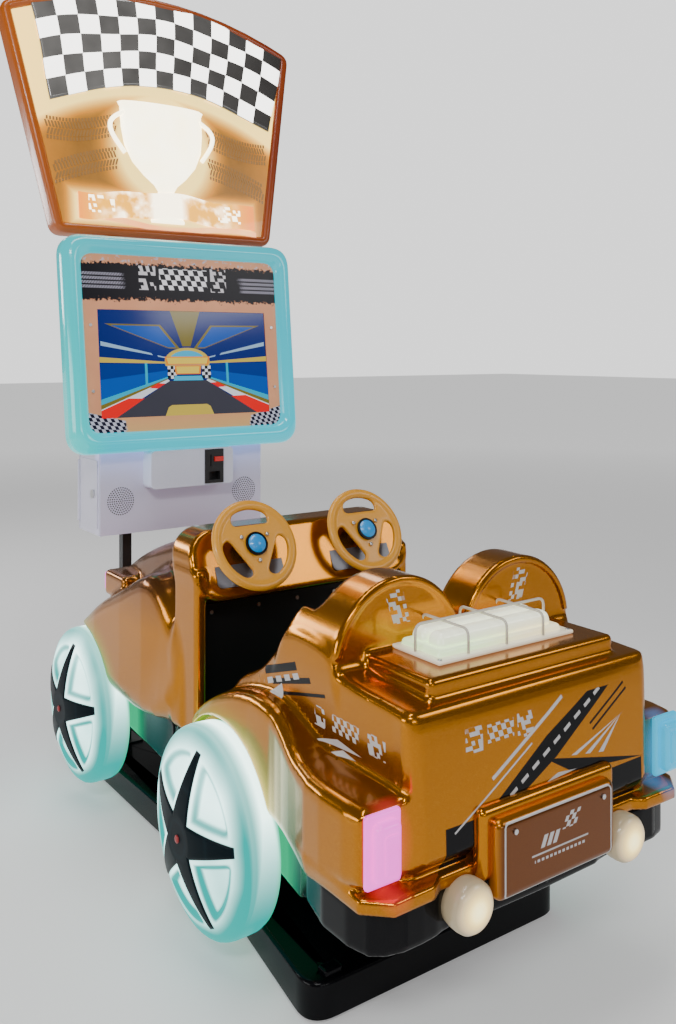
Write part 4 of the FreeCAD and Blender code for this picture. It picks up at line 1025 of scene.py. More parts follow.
def banner_paint():
    """Golden cloth, blown out in the middle, with a scatter of bright squares."""
    g = Graph("banner_lit", (0.80, 0.36, 0.02), Roughness=0.3, Coat_Weight=0.4)
    x, _, z = g.place()
    wide = abs(x)
    bright = g.ramp(g.noise(20, 3.0), 0.42, 0.6) * g.under(wide, 170, 50)
    squares = g.scatter(x + z * 0.2, z, 8.0, 0.45) * g.between(wide, 150, 220)
    squares = squares * g.between(z, 58, 104)
    white = g.either(bright, squares, g.under(wide, 52, 12))
    fold = g.mix(g.ramp(wide, 190, 250), (1.0, 0.42, 0.01), (1.0, 0.14, 0.01))
    g.set("Emission Color", g.mix(white, fold, (1.0, 0.93, 0.70)))
    g.set("Emission Strength", white * 3.4 + 1.7)
    return g.material


def marquee_cup():
    """A trophy in half relief, with two ears."""
    profile = [(48, 44), (50, 50), (42, 66), (32, 96), (25, 118), (24, 132), (34, 148),
               (62, 172), (92, 206), (112, 250), (119, 300), (120, 356), (126, 368), (118, 372)]
    half = []
    for radius, height in profile:
        ring = []
        for k in range(33):
            a = math.pi * k / 32
            ring.append((-radius * math.cos(a), 11 - radius * 0.16 * math.sin(a), height))
        ring.append((0, 11, height))
        half.append(ring)
    ears = []
    for side in (-1, 1):
        path = [(side * (112 + 38 * math.sin(t)), 7, 340 - 112 * t / math.pi + 14 * math.sin(t))
                for t in np.linspace(0, math.pi, 14)]
        ears.append(tube(path, 6, 10))
    on_marquee("marquee_cup", merged([lofted(half)] + ears), CUP_LIT)


def marquee_banner():
    """A ribbon across the foot of the cup, with folded ends."""
    def strip(points, tall, depth):
        front, rear = [], []
        for x, z in points:
            front += [(x, depth, z + tall / 2), (x, depth, z - tall / 2)]
            rear += [(x, depth + 4, z + tall / 2), (x, depth + 4, z - tall / 2)]
        verts = front + rear
        n, m = len(points), 2 * len(points)
        faces = []
        for i in range(n - 1):
            a = 2 * i
            faces.append((a, a + 1, a + 3, a + 2))
            faces.append((m + a, m + a + 2, m + a + 3, m + a + 1))
            faces.append((a, a + 2, m + a + 2, m + a))
            faces.append((a + 1, m + a + 1, m + a + 3, a + 3))
        faces += [(0, m, m + 1, 1), (m - 2, m - 1, 2 * m - 1, 2 * m - 2)]
        return verts, faces

    middle = [(x, 84 + 8 * math.cos(x / 70) + 3 * math.sin(x / 28)) for x in range(-246, 265, 10)]
    on_marquee("marquee_banner", strip(middle, 70, 4), banner_paint(), angle=40)
    hem = [(x, 34 - 9 * math.cos(x / 62) - x * 0.03) for x in range(-232, 271, 10)]
    on_marquee("marquee_banner_hem", strip(hem, 15, 6), BANNER_END, angle=40)


def marquee_tracks():
    """Faint curved tyre tracks of slanting blocks, two on each side."""
    dark = glowing("track_dark", (0.20, 0.10, 0.03), (0.30, 0.15, 0.035), 0.5)
    solids = []
    for side in (-1, 1):
        for base, bend, sag in ((300, -26, -14), (210, -80, 8)):
            for k in range(26):
                t = k / 25
                x, z = side * (138 + 212 * t), base + bend * t + sag * math.sin(t * math.pi)
                if abs(x) > LOW_HALF + z * 0.196 - 38:
                    continue
                for row, lean, tall in ((0, 5, 17), (1, -5, 17), (-1, 0, 9), (2, 0, 9)):
                    low = z + (-17 if row < 1 else 3) + (-12 if row < 0 else 19 if row > 1 else 0)
                    a, b = x - 2.4, x + 2.4
                    box = [(a, 9.2, low), (b, 9.2, low), (b + lean, 9.2, low + tall),
                           (a + lean, 9.2, low + tall)]
                    solids.append(lofted([box, [(u, 11.5, w) for u, _, w in box]]))
    on_marquee("marquee_tracks", merged(solids), dark, smooth=False)


marquee()


# ---------------------------------------------------------------- screen

SCREEN = PLINTH @ Matrix.Translation((0, 1001 * MM, 908 * MM))
SCREEN = SCREEN @ Matrix.Rotation(math.radians(-6.76), 4, "X")
PICTURE_HALF, PICTURE_TALL = 236, 270


def screen_frame():
    """A bulging turquoise ring, lit from inside."""
    outer = filleted([(-316, -86), (316, -86), (323, 456), (-323, 456)], 56, 12)
    inner = filleted([(-268, -34), (268, -34), (274, 408), (-274, 408)], 34, 12)
    rings = []
    for t in np.linspace(0, 1, 15):
        swell = math.sin(math.pi * t) ** 0.55
        depth = 4 - 25 * swell
        rings.append([(a[0] + (b[0] - a[0]) * t, depth, a[1] + (b[1] - a[1]) * t)
                      for a, b in zip(outer, inner)])
    rings.append(on_plane(inner, 30))
    rings.append(on_plane([(u * 1.08, v * 1.02) for u, v in inner], 34))
    rings.append(on_plane(outer, 34))
    verts, faces = lofted(rings, False, False)
    n, last = len(outer), (len(rings) - 1) * len(outer)
    faces += [(last + i, last + (i + 1) % n, (i + 1) % n, i) for i in range(n)]
    g = Graph("frame_turquoise", (0.2, 0.8, 0.86), Roughness=0.16, Coat_Weight=0.3)
    x, _, z = g.place()
    rise = g.ramp(z, -60, 440)
    colour = g.mix(rise * rise, (0.0, 0.52, 0.66), (0.03, 0.52, 0.62))
    colour = g.mix(g.under(x, -270, 50) * (1 - rise * 0.6), colour, (0.0, 0.66, 0.60))
    colour = g.mix(g.ramp(g.noise(3.2, 1.0), 0.4, 0.9) * 0.35, colour, (0.08, 0.70, 0.74))
    g.set("Base Color", g.mix(0.9, colour, (0.0, 0.05, 0.07)))
    g.set("Emission Color", colour)
    g.set("Emission Strength", (1 - rise) * 0.15 + 1.05)
    piece("screen_ring", verts, faces, g.material, "stand", "cyan_shell", ("screen_frame",),
          SCREEN)


def bezel():
    """Peach print with a torn black header, tyre tracks and chequered corners."""
    g = Graph("bezel_print", (0.70, 0.34, 0.20), Roughness=0.28, Specular_IOR_Level=0.2)
    x, _, z = g.place()
    wide = abs(x)
    peach = g.mix(g.noise(7, 3.0), (0.50, 0.19, 0.10), (0.72, 0.34, 0.18))
    peach = g.mix(g.under(z, 0, 20), peach, (0.62, 0.34, 0.14))
    coarse, fine = g.noise(26, 5.0, rough=0.8) * 90 - 45, g.noise(120, 2.0) * 30 - 15
    header = g.between(z + coarse * 0.45 + fine, 296, 388, 2)
    header = header * g.under(wide + coarse * 0.4, 290, 2)
    spray = g.over(g.noise(90, 3.0), 0.60, 0.02) * g.between(z, 372, 410, 8)
    colour = g.mix(spray * 0.8, peach, (0.46, 0.44, 0.52))
    colour = g.mix(header, colour, (0.006, 0.005, 0.008))
    tracks = g.between(wide + coarse * 0.4, 168, 290, 8) * g.between(z, 322, 366)
    blocks = g.over(g.fract(z / 11.0), 0.35, 0.05)
    blocks = blocks * g.over(g.fract((wide + z * 0.8) / 7.0), 0.3, 0.05)
    colour = g.mix(tracks * blocks * 0.75, colour, (0.34, 0.32, 0.40))
    patch = g.between(z, 322, 384) * g.between(wide, 78, 124)
    squares = g.scatter(x + z * 0.25, z, 9.0, 0.42)
    colour = g.mix(patch * squares, colour, (0.55, 0.52, 0.55))
    flags = g.between(wide, 0, 68) * g.between(z, 324, 380)
    colour = g.mix(flags * g.chequer(x + z * 0.3, z, 14.0), colour, (0.72, 0.70, 0.74))
    corner = g.under(z + (wide - 200) * -0.25, -2) * g.over(wide + coarse * 0.5, 176, 2)
    lower = g.chequer(x + z * 0.5, z - wide * 0.08, 9.0)
    colour = g.mix(corner, colour, (0.46, 0.46, 0.56))
    colour = g.mix(corner * lower, colour, (0.006, 0.006, 0.02))
    g.set("Base Color", colour)
    # The print also glows faintly in its own colour: painted light.
    g.set("Emission Color", colour)
    g.set("Emission Strength", 0.30)
    outline = filleted([(-272, -38), (272, -38), (276, 412), (-276, 412)], 32, 8)
    front, back = on_plane(outline, 0.2), on_plane(outline, 2.8)
    edge = PICTURE_HALF + 1
    hole = [(-edge, 0), (edge, 0), (edge, PICTURE_TALL), (-edge, PICTURE_TALL)]
    verts, faces = framed(front, back, outline, hole)
    piece("bezel_print", verts, faces, g.material, "stand", "panel_print", ("bezel_panel",),
          SCREEN, smooth=False)


def framed(front, back, outline, hole):
    """A plate with a rectangular window, made by casting its outline onto the window."""
    inner = []
    u0, v0 = (hole[0][0] + hole[1][0]) / 2, (hole[0][1] + hole[2][1]) / 2
    half_u, half_v = (hole[1][0] - hole[0][0]) / 2, (hole[2][1] - hole[1][1]) / 2
    mid_v = sum(v for _, v in outline) / len(outline)
    for u, v in outline:
        du, dv = u, v - mid_v
        reach = max(abs(du) / 276, abs(dv) / 225)
        inner.append((u0 + du / reach * half_u / 276, v0 + dv / reach * half_v / 225))
    quads = len(outline) // 4
    for k in range(4):
        inner[k * quads + quads // 2] = hole[k]
    rings = [front, on_plane(inner, front[0][1]), on_plane(inner, back[0][1]), back]
    verts, faces = lofted(rings, False, False)
    n = len(outline)
    faces += [(3 * n + i, 3 * n + (i + 1) % n, (i + 1) % n, i) for i in range(n)]
    return verts, faces


def lit(name, colour, strength=0.8):
    """A flat lit colour on the screen."""
    g = Graph(name, tuple(c * 0.4 for c in colour), Roughness=0.12)
    g.place()
    tone = g.noise(10, 1.0)
    g.set("Emission Color", g.mix(tone, tuple(c * 0.82 for c in colour), colour))
    g.set("Emission Strength", strength)
    return g.material


def screen_picture():
    """A race tunnel drawn as flat lit shapes, in halves of the picture's width and height."""
    paints = {
        "navy": (0.002, 0.016, 0.16), "blue": (0.0, 0.075, 0.42), "deep": (0.0, 0.030, 0.24),
        "olive": (0.19, 0.15, 0.022), "gold": (0.62, 0.46, 0.07), "white": (0.30, 0.48, 0.68),
        "cyan": (0.0, 0.42, 0.62), "road": (0.048, 0.048, 0.065), "red": (0.85, 0.008, 0.01),
        "pale": (0.75, 0.78, 0.85), "yellow": (0.85, 0.62, 0.08), "orange": (0.85, 0.25, 0.02),
        "sky": (0.03, 0.45, 0.72), "dark": (0.01, 0.01, 0.015),
    }
    order = list(paints)
    shapes = []

    def add(paint, *points):
        shapes.append((order.index(paint), points))

    add("navy", (-1, -1), (1, -1), (1, 1), (-1, 1))
    add("olive", (-0.18, 1.0), (0.18, 1.0), (0.05, 0.32), (-0.05, 0.32))
    for s in (-1, 1):
        add("olive", (s * 0.93, 0.74), (s * 0.30, 0.73), (s * 0.08, 0.27), (s * 0.22, 0.28))
        add("blue", (s * 0.86, 0.71), (s * 0.32, 0.70), (s * 0.13, 0.30), (s * 0.22, 0.30))
        add("white", (s * 0.98, 0.41), (s * 0.98, 0.33), (s * 0.40, 0.15), (s * 0.42, 0.19))
        add("white", (s * 0.35, 0.15), (s * 0.34, 0.12), (s * 0.22, 0.08), (s * 0.22, 0.10))
        add("gold", (s, 0.12), (s, 0.02), (s * 0.24, -0.01), (s * 0.24, 0.02))
        add("deep", (s, 0.0), (s, -0.72), (s * 0.24, -0.27), (s * 0.24, -0.01))
        add("blue", (s, -0.30), (s, -0.72), (s * 0.24, -0.27), (s * 0.24, -0.14))
        add("cyan", (s * 0.50, 0.0), (s * 0.47, 0.0), (s * 0.47, -0.38), (s * 0.50, -0.40))
        add("cyan", (s, -0.66), (s, -0.76), (s * 0.24, -0.29), (s * 0.24, -0.26))
        add("olive", (s, -0.76), (s, -0.84), (s * 0.24, -0.31), (s * 0.24, -0.29))
        add("pale", (s, -0.84), (s, -1), (s * 0.90, -1), (s * 0.22, -0.34), (s * 0.24, -0.31))
        add("red", (s, -0.86), (s, -1), (s * 0.84, -1), (s * 0.50, -0.66), (s * 0.70, -0.65))
        add("red", (s * 0.46, -0.47), (s * 0.36, -0.48), (s * 0.27, -0.39), (s * 0.36, -0.38))
    add("road", (-0.84, -1), (0.84, -1), (0.22, -0.34), (-0.22, -0.34))
    dome = [(0.27 * math.cos(a), 0.02 + 0.27 * math.sin(a)) for a in np.linspace(-0.3, 3.44, 24)]
    add("gold", *dome)
    add("sky", *[(u * 0.82, 0.02 + (v - 0.02) * 0.80) for u, v in dome])
    for s in (-1, 1):
        for k in range(3):
            for row in range(4):
                u, v = s * (0.17 + 0.035 * k), -0.30 + 0.06 * row
                tile = (u, v), (u + 0.035, v), (u + 0.035, v + 0.06), (u, v + 0.06)
                add("pale" if (k + row) % 2 else "dark", *tile)
    add("orange", (-0.25, -0.04), (0.25, -0.04), (0.27, 0.12), (-0.27, 0.12))
    add("yellow", (-0.23, -0.02), (0.23, -0.02), (0.25, 0.10), (-0.25, 0.10))
    add("orange", (-0.15, -0.22), (0.15, -0.22), (0.16, -0.05), (-0.16, -0.05))
    add("yellow", (-0.13, -0.20), (0.13, -0.20), (0.14, -0.07), (-0.14, -0.07))
    add("sky", (-0.18, -0.34), (0.18, -0.34), (0.16, -0.25), (-0.16, -0.25))
    add("gold", (-0.29, -1), (0.29, -1), (0.25, -0.84), (0.21, -0.80), (-0.21, -0.80),
        (-0.25, -0.84))
    verts, faces, picks = [], [], []
    for layer, (paint, points) in enumerate(shapes):
        base = len(verts)
        depth = 2.6 - layer * 0.035
        for u, v in points:
            u, v = max(-1, min(1, u)), max(-1, min(1, v))
            verts.append((u * PICTURE_HALF, depth, (1 + v) * PICTURE_TALL / 2))
        area = sum(p[0] * q[1] - q[0] * p[1] for p, q in zip(points, points[1:] + points[:1]))
        run = range(base, len(verts))
        faces.append(tuple(run) if area > 0 else tuple(reversed(run)))
        picks.append(paint)
    mesh = bpy.data.meshes.new("screen_picture")
    mesh.from_pydata([(x * MM, y * MM, z * MM) for x, y, z in verts], [], faces)
    for name in order:
        mesh.materials.append(lit("screen_" + name, paints[name]))
    mesh.polygons.foreach_set("material_index", picks)
    obj = added("screen_picture", mesh)
    obj.matrix_world = SCREEN
    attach(obj, "stand")


screen_frame()
bezel()
screen_picture()


# ---------------------------------------------------------------- lamps and plate

PINK = glowing("pink_lens", (0.60, 0.01, 0.25), (1.0, 0.17, 0.95), 1.5, edge=(1.0, 0.08, 0.70))
CYAN = glowing("cyan_lens", (0.0, 0.25, 0.45), (0.0, 0.56, 0.80), 0.85, edge=(0.0, 0.42, 0.75))
CREAM = glowing("cream_lens", (0.80, 0.74, 0.60), (1.0, 0.90, 0.70), 0.35, edge=(0.9, 0.75, 0.5))


def lamp_glass():
    """Frosted glass, greenish at its left and creamy at its right."""
    g = Graph("lamp_glass", (0.75, 0.80, 0.62), Roughness=0.25, Coat_Weight=0.7)
    x, _, z = g.place()
    warm = g.ramp(x + g.noise(12, 2.0) * 80 - 40, -60, 60)
    tint = g.mix(warm, (0.62, 1.0, 0.42), (1.0, 0.76, 0.34))
    g.set("Emission Color", g.mix(g.ramp(z, 604, 626), tint, (1.0, 1.0, 0.78)))
    g.set("Emission Strength", 1.05)
    return g.material
GOLD_TRIM = gold_paint("gold_trim")
ZINC = plain("zinc", (0.66, 0.66, 0.67), 0.3, Metallic=0.95)


TAIL_INNER, TAIL_OUTER, MARKER_X, MARKER_Z = 289, 331, 171, 275


def tail_lamps():
    """A lens, its ridge and its base at each rear corner."""
    for side, hand, glass in ((-1, "left", PINK), (1, "right", CYAN)):
        low_x, high_x = sorted((side * TAIL_INNER, side * TAIL_OUTER))
        soft_box(f"tail_lens_{hand}", (low_x, -242, 348), (high_x, -219, 430), 9, glass, "car",
                 "pink_lens" if side < 0 else "cyan_lens",
                 replaces=("tail_lamp_lens_" + hand,))
        soft_box(f"tail_ridge_{hand}", (low_x + 9, -246, 362), (high_x - 9, -238, 416), 5, glass,
                 "car", "pink_lens" if side < 0 else "cyan_lens")
        soft_box(f"tail_base_{hand}", (low_x - 10, -226, 337), (high_x + 10, -214, 440), 8,
                 glass, "car", "pink_lens" if side < 0 else "cyan_lens",
                 replaces=("tail_lamp_bases",) if side < 0 else ())


def marker_lamps():
    """Frosted pucks with a bright spot in the middle."""
    profile = [(30, -16), (36, -14), (38, -4), (38.5, 8), (37.5, 16), (33, 22), (26, 25.5),
               (14, 27.4), (0.5, 27.8)]
    g = Graph("marker_lens", (0.40, 0.33, 0.20), Roughness=0.3, Coat_Weight=0.3)
    g.place()
    reach = g.attribute("reach")
    core = g.mix(g.under(reach, 14, 10), (1.0, 0.66, 0.14), (1.0, 0.90, 0.42))
    g.set("Emission Color", g.mix(g.over(reach, 27, 9), core, (0.85, 0.66, 0.42)))
    g.set("Emission Strength", g.under(reach, 24, 12) * 2.4 + 0.16)
    for side, hand in SIDES:
        verts, faces = lathed(profile, 56)
        reach = [math.hypot(v[0], v[1]) for v in verts]
        turned = Matrix.Translation((side * MARKER_X, -238, MARKER_Z))
        turned @= Matrix.Rotation(math.pi / 2, 4, "X")
        verts, faces = moved((verts, faces), turned)
        piece(f"marker_lamp_{hand}", verts, faces, g.material, "car", "cream_lens",
              ("marker_lamps",) if side < 0 else (), attributes={"reach": reach})


def plate():
    """A stepped plate on the boot's lower edge."""
    soft_box("plate_step", (-148, -246, 296), (148, -220, 404), 12, GOLD_TRIM, "car", "gold_body")
    soft_box("plate_body", (-130, -263, 268), (130, -232, 388), 14, plate_paint(), "car",
             "gold_body", replaces=("plate_box",))


def plate_paint():
    """Gold plate with a silver border line and a small chequered mark."""
    g = Graph("plate_paint", GOLD, Coat_Weight=0.3, Coat_Roughness=0.03, Roughness=0.3)
    x, y, z = g.place()
    wide, tall = abs(x), abs(z - 327)
    out, up = g.math("MAXIMUM", wide - 109, 0.0), g.math("MAXIMUM", tall - 47, 0.0)
    line = g.between(g.root(out * out + up * up), 6.2, 9.0, 0.3)
    mark = g.polygon([(4, 342), (34, 342), (46, 366), (16, 366)], x, z)
    mark = mark * g.chequer(x - z * 0.5, z, 8.0)
    bar = g.between(z, 318, 320.5) * g.between(wide, 0, 62)
    dash = g.between(z, 308, 312) * g.between(wide, 0, 56)
    dash = dash * g.over(g.fract(x / 9.0), 0.4, 0.05)
    slab = g.polygon([(-46, 327), (-6, 327), (2, 345), (-38, 345)], x, z)
    slab = slab * g.over(g.fract((x - z * 0.45) / 13.0), 0.35, 0.05)
    film = g.either(line, mark, bar, dash, slab) * g.under(y, -255)
    deep = g.mix(g.noise(900, 1.0) * 0.5, (0.13, 0.036, 0.004), (0.24, 0.075, 0.006))
    gold = g.mix(g.over(y, -258, 4), deep, GOLD)
    g.set("Base Color", g.mix(film, gold, SILVER))
    g.set("Metallic", (1 - film) * 0.8)
    return g.material


def bulkhead_lamp():
    """A caged lamp: tray, stepped glass in two ridges, and its wire guard."""
    glass = lamp_glass()
    soft_box("lamp_tray", (-151, -155, 591.5), (151, -25, 598), 3, CREAM, "car", "plate_grey",
             replaces=("bulkhead_lamp_base",))
    soft_box("lamp_step", (-138, -140, 595), (138, -40, 608), 5, glass, "car", "cream_lens",
             taper=(3, 3))
    soft_box("lamp_lens", (-127, -130, 604), (127, -90, 629), 10, glass, "car", "cream_lens",
             taper=(5, 5), replaces=("bulkhead_lamp_lens",))
    soft_box("lamp_lens_front", (-127, -91, 604), (127, -50, 629), 10, glass, "car", "cream_lens",
             taper=(5, 5))
    wires = []
    for x in (-84, 0, 84):
        loop = filleted([(-147, 597), (-147, 636), (-33, 636), (-33, 597)], [0, 13, 13, 0], 6)
        wires.append(tube([(x, y, z) for y, z in loop], 2.4))
    long_wire = filleted([(-145, 597), (-145, 640), (145, 640), (145, 597)], [0, 14, 14, 0], 6)
    wires.append(tube([(x, -90, z) for x, z in long_wire], 2.4))
    white = plain("guard_white", (0.62, 0.58, 0.50), 0.3, Coat_Weight=0.4)
    piece("lamp_guard", *merged(wires), white, "car", "guard_wire", ("bulkhead_lamp_guard",))
    screws = [moved(lathed([(4, 0), (4, 1), (2.6, 1.8), (0.4, 2)], 14),
                    Matrix.Translation((side * 143, y, 597.8)))
              for side in (-1, 1) for y in (-147, -33)]
    piece("lamp_screws", *merged(screws), ZINC, "car", "zinc_screws")


def headlamps():
    """A lens on each front wing."""
    for side, hand in SIDES:
        low_x, high_x = sorted((side * 189, side * 239))
        soft_box(f"headlamp_{hand}", (low_x, 962, 496), (high_x, 982, 544), 9, PINK, "car",
                 "pink_lens", replaces=("headlamp_lenses",) if side < 0 else ())


tail_lamps()
marker_lamps()
plate()
bulkhead_lamp()
headlamps()


# ---------------------------------------------------------------- steering

STEER_X, STEER_Y, STEER_Z, STEER_TILT = 138, 430, 682, 28.0
RIM_R, RIM_HALF, HUB_HALF, BUTTON_BORE = 85.2, 9.4, 4.6, 19.4


def steer_space(side):
    """A steering wheel's own frame; Z runs out towards the rider."""
    space = PLINTH @ Matrix.Translation((side * STEER_X * MM, STEER_Y * MM, STEER_Z * MM))
    return space @ Matrix.Rotation(math.radians(90 - STEER_TILT), 4, "X")


YELLOW = plain("steering_yellow", (0.78, 0.34, 0.022), 0.36, grain=25, Coat_Weight=0.2)
BLUE_BUTTON = glowing("blue_button", (0.0, 0.16, 0.42), (0.0, 0.34, 0.70), 0.5,
                      edge=(0.0, 0.10, 0.42))


def steering():
    """Rims, hub screws and the finishes of the hub's parts."""
    for side, hand in SIDES:
        for node, paint in (("button_housing_", BLACK_GLOSS), ("horn_button_", BLUE_BUTTON),
                            ("steering_shaft_", ZINC)):
            repaint(node + hand, paint)
        verts, faces = skinned(steering_rim, (-98, -98, -10), (98, 98, 10), 2.5)
        piece("steering_rim_" + hand, verts, faces, YELLOW, "steering_" + hand, "yellow_wheel",
              ("steering_wheel_" + hand,), space=steer_space(side))
        screws = []
        for k in range(3):
            a = math.radians(30 + 120 * k)
            head = lathed([(4.2, 0), (4.2, 1.4), (3, 2.6), (0.4, 3)], 14)
            spot = Matrix.Translation((34 * math.cos(a), 34 * math.sin(a), 6.9))
            screws.append(moved(head, spot))
        piece("steering_screws_" + hand, *merged(screws), ZINC, "steering_" + hand,
              "zinc_screws", space=steer_space(side))


def steering_rim(x, y, z):
    """A broad round rim on a flat hub, with three windows."""
    reach = np.hypot(x, y)
    rim = np.sqrt((reach - RIM_R) ** 2 + (z * 1.35) ** 2) - RIM_HALF
    hub = blend_max(reach - 84, np.abs(z) - HUB_HALF, 3)
    for k in range(3):
        a = math.radians(90 + 120 * k)
        along, across = x * math.cos(a) + y * math.sin(a), y * math.cos(a) - x * math.sin(a)
        window = blend_max(reach - 75, 41 - along, 5)
        hub = blend_max(hub, -blend_max(window, np.abs(across) - 43, 12), 4)
    shape = blend_min(rim, hub, 4)
    return blend_max(shape, BUTTON_BORE - reach, 1)


def repaint(node, material):
    """Give a CAD node one finish."""
    obj = NODES[node]
    obj.data.materials.clear()
    obj.data.materials.append(material)


steering()


# ---------------------------------------------------------------- finishes on the CAD's parts

CABINET = plain("cabinet_grey", (0.66, 0.64, 0.76), 0.36, vary=0.03, grain=60)


def cabinet_lit():
    """Lilac-white powder coat, with painted blue light below the glowing screen ring and a faint
    even painted glow.
    """
    g = Graph("cabinet_lit", (0.66, 0.64, 0.76), Roughness=0.36)
    _, y, z = g.place()
    speck = g.noise(600, 3.0)
    g.set("Base Color", g.mix(speck, (0.62, 0.60, 0.72), (0.70, 0.68, 0.80)))
    g.set("Roughness", speck * 0.1 + 0.32)
    under = g.ramp(z, 720, 860)
    g.set("Emission Color", g.mix(under, (0.40, 0.30, 0.60), (0.22, 0.20, 1.0)))
    g.set("Emission Strength", (under * under * 0.9 + 0.12) * g.under(y, 560, 15))
    return g.material


CABINET_LIT = cabinet_lit()
BLACK_STEEL = plain("black_steel", (0.016, 0.016, 0.018), 0.38, grain=80)
STEEL = plain("bare_steel", (0.55, 0.55, 0.57), 0.34, Metallic=0.9)
COIN_WHITE = plain("coin_white", (0.74, 0.77, 0.92), 0.22, vary=0.03, Coat_Weight=0.4)
KICK = plain("kick_black", (0.006, 0.006, 0.007), 0.42, grain=90, bump=0.12,
             Specular_IOR_Level=0.25)
PLATE_GREY = plain("plate_grey", (0.16, 0.16, 0.18), 0.3, Metallic=0.5)
BOARD = plain("board_green", (0.02, 0.16, 0.07), 0.4)
RED = plain("red_button", (0.70, 0.02, 0.015), 0.25, Coat_Weight=0.5)
RUBBER = plain("rubber_black", (0.02, 0.02, 0.02), 0.8)
BRONZE = plain("bronze", (0.50, 0.34, 0.15), 0.35, Metallic=0.9)
LED = glowing("led_strip", (0.8, 0.95, 1.0), (0.5, 0.95, 1.0), 0.6)

FINISHES = (
    (BLACK_GLOSS, "base_shell lcd_panel skirt_shell"),
    (BLACK_STEEL, "base_frame stand_posts coin_acceptor speaker_drivers power_inlet "
     "lcd_bracket marquee_bracket rocker_frame"),
    (RUBBER, "levelling_feet"),
    (CABINET_LIT, "monitor_cabinet"),
    (COIN_WHITE, "coin_housing"),
    (STEEL, "coin_chute cash_box power_supply pivot_bearings crank connecting_rod pivot_shaft"),
    (BOARD, "game_board wheel_lamp_boards"),
    (LED, "screen_led_strip marquee_light_board"),
    (ZINC, "panel_screws door_lock body_screws"),
    (CABINET, "gear_motor service_door"),
    (RED, "coin_return_button"),
    (KICK, "kick_panel"),
    (PLATE_GREY, "steering_plates"),
    (BRONZE, "steering_bearings"),
)
for finish, node_names in FINISHES:
    for node_name in node_names.split():
        repaint(node_name, finish)


# ---------------------------------------------------------------- cabinet details

SPEAKER_X, SPEAKER_Z, CABINET_FRONT, HOLE_PITCH = 174.6, 697.6, 1034.8, 5.6


def speaker_holes():
    """Rings of small dark holes over each speaker."""
    discs = []
    for side in (-1, 1):
        for ring in range(7):
            radius = ring * HOLE_PITCH
            count = max(1, ring * 6)
            for k in range(count):
                a = 2 * math.pi * k / count
                spot = Matrix.Translation((side * SPEAKER_X + radius * math.cos(a),
                                           CABINET_FRONT, SPEAKER_Z + radius * math.sin(a)))
                spot @= Matrix.Rotation(math.pi / 2, 4, "X")
                discs.append(moved(lathed([(1.7, -0.6), (1.7, 0.3)], 10), spot))
    piece("speaker_holes", *merged(discs), BLACK_STEEL, "stand", "speaker_cone", smooth=False)


def cabinet_seams():
    """Folded flanges down the cabinet's edges."""
    strips = []
    for x in (-227.8, 227.8):
        side = 1 if x > 0 else -1
        for y in (1040, 1176):
            a = [(x, y - 1.5, 617), (x + side * 0.8, y - 1.5, 617), (x + side * 0.8, y + 1.5, 617),
                 (x, y + 1.5, 617)]
            strips.append(lofted([a, [(p, q, 868) for p, q, _ in a]]))
    piece("cabinet_seams", *merged(strips), CABINET, "stand", "grey_steel", smooth=False)


speaker_holes()
cabinet_seams()


# ---------------------------------------------------------------- floor, light and camera

def area_light(name, place, aim, size, power):
    """A soft white panel; places and sizes are metres, power is watts."""
    data = bpy.data.lights.new(name, "AREA")
    data.shape, data.size, data.size_y = "RECTANGLE", size[0], size[1]
    data.energy = power
    obj = added(name, data)
    obj.location = place
    obj.rotation_euler = (Vector(aim) - Vector(place)).to_track_quat("-Z", "Y").to_euler()


FLOOR_HALF = 30
SURROUND_LIT, SURROUND_SEEN = 0.12, 1.5


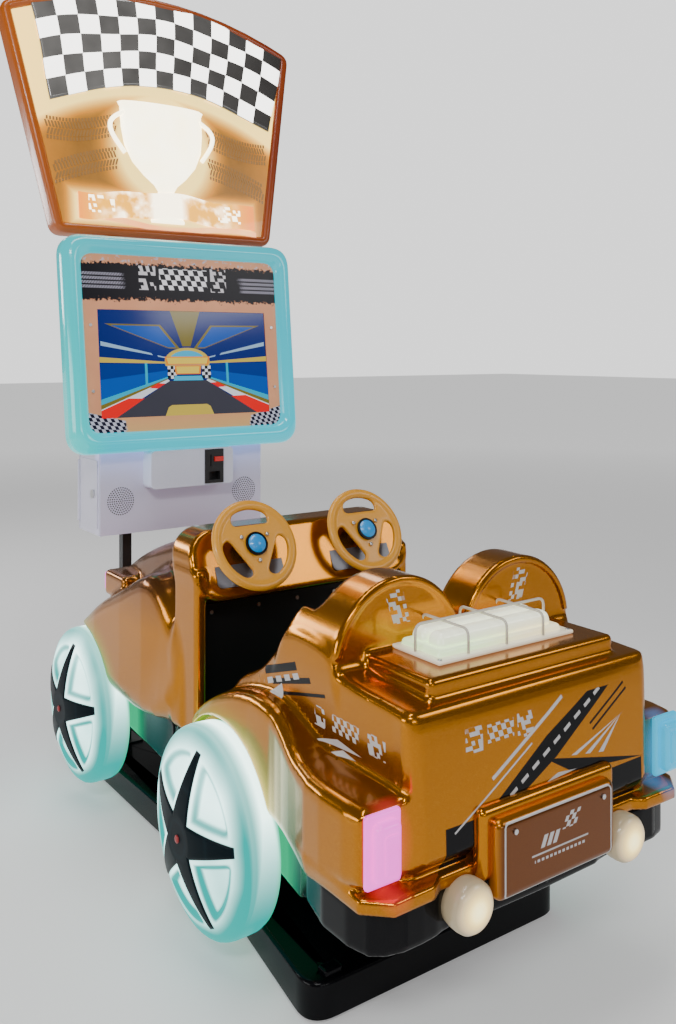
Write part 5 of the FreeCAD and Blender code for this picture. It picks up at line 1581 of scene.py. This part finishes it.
def studio():
    """A pale floor that stays even into the distance, soft panels, and a white surround."""
    floor_paint = Graph("floor_pale", (0.80, 0.80, 0.80), Emission_Color=(1, 1, 1, 1))
    x, y, _ = floor_paint.place()
    floor_paint.set("Roughness", floor_paint.noise(4, 2.0) * 0.1 + 0.6)
    distance = floor_paint.root(x * x + y * y)
    floor_paint.set("Emission Strength", floor_paint.ramp(distance, 2200, 9000) * 0.42 + 0.24)
    mesh = bpy.data.meshes.new("floor")
    half = FLOOR_HALF
    mesh.from_pydata([(-half, -half, 0), (half, -half, 0), (half, half, 0), (-half, half, 0)], [],
                     [(0, 1, 2, 3)])
    mesh.materials.append(floor_paint.material)
    added("floor", mesh)
    area_light("key", (-2.4, -3.2, 3.4), (0, -0.1, 0.6), (1.8, 0.45), 74)
    area_light("fill", (2.3, -3.0, 2.6), (0, 0, 0.6), (1.5, 0.9), 24)
    area_light("back", (0.6, 3.6, 3.2), (0, 0, 0.8), (3.0, 0.6), 36)
    area_light("top", (-0.3, -0.4, 4.0), (0, -0.2, 0), (0.45, 3.0), 52)
    area_light("front", (-0.6, -4.4, 1.4), (0, 0, 0.9), (2.2, 0.3), 16)
    area_light("side", (-3.6, 0.2, 1.1), (0, 0.0, 0.5), (2.4, 0.7), 40)
    area_light("front_left", (-2.0, 3.4, 1.5), (-0.3, 0.3, 0.5), (1.8, 0.5), 34)
    world = bpy.data.worlds.new("studio")
    world.use_nodes = True
    tree = world.node_tree
    path = tree.nodes.new("ShaderNodeLightPath")
    seen = tree.nodes.new("ShaderNodeMapRange")
    seen.inputs["To Min"].default_value = SURROUND_LIT
    seen.inputs["To Max"].default_value = SURROUND_SEEN
    tree.links.new(path.outputs["Is Camera Ray"], seen.inputs["Value"])
    tree.nodes["Background"].inputs[0].default_value = (1, 1, 1, 1)
    tree.links.new(seen.outputs[0], tree.nodes["Background"].inputs[1])
    bpy.context.scene.world = world


EYE = (-1.1321, REAR - 1.2996, 1.0760)
EYE_PITCH, EYE_YAW = 90.27, -35.83
FOCAL, SENSOR = 34.52, 36.0
SHIFT_X, SHIFT_Y = -0.0187, -0.1631


def camera():
    """Behind the car and to its left, level, with its shift framing the object."""
    data = bpy.data.cameras.new("camera")
    data.lens, data.sensor_width, data.sensor_fit = FOCAL, SENSOR, "AUTO"
    data.shift_x, data.shift_y = SHIFT_X, SHIFT_Y
    data.clip_end = 100
    obj = added("camera", data)
    obj.location = EYE
    obj.rotation_euler = (math.radians(EYE_PITCH), 0, math.radians(EYE_YAW))
    bpy.context.scene.camera = obj


studio()
camera()
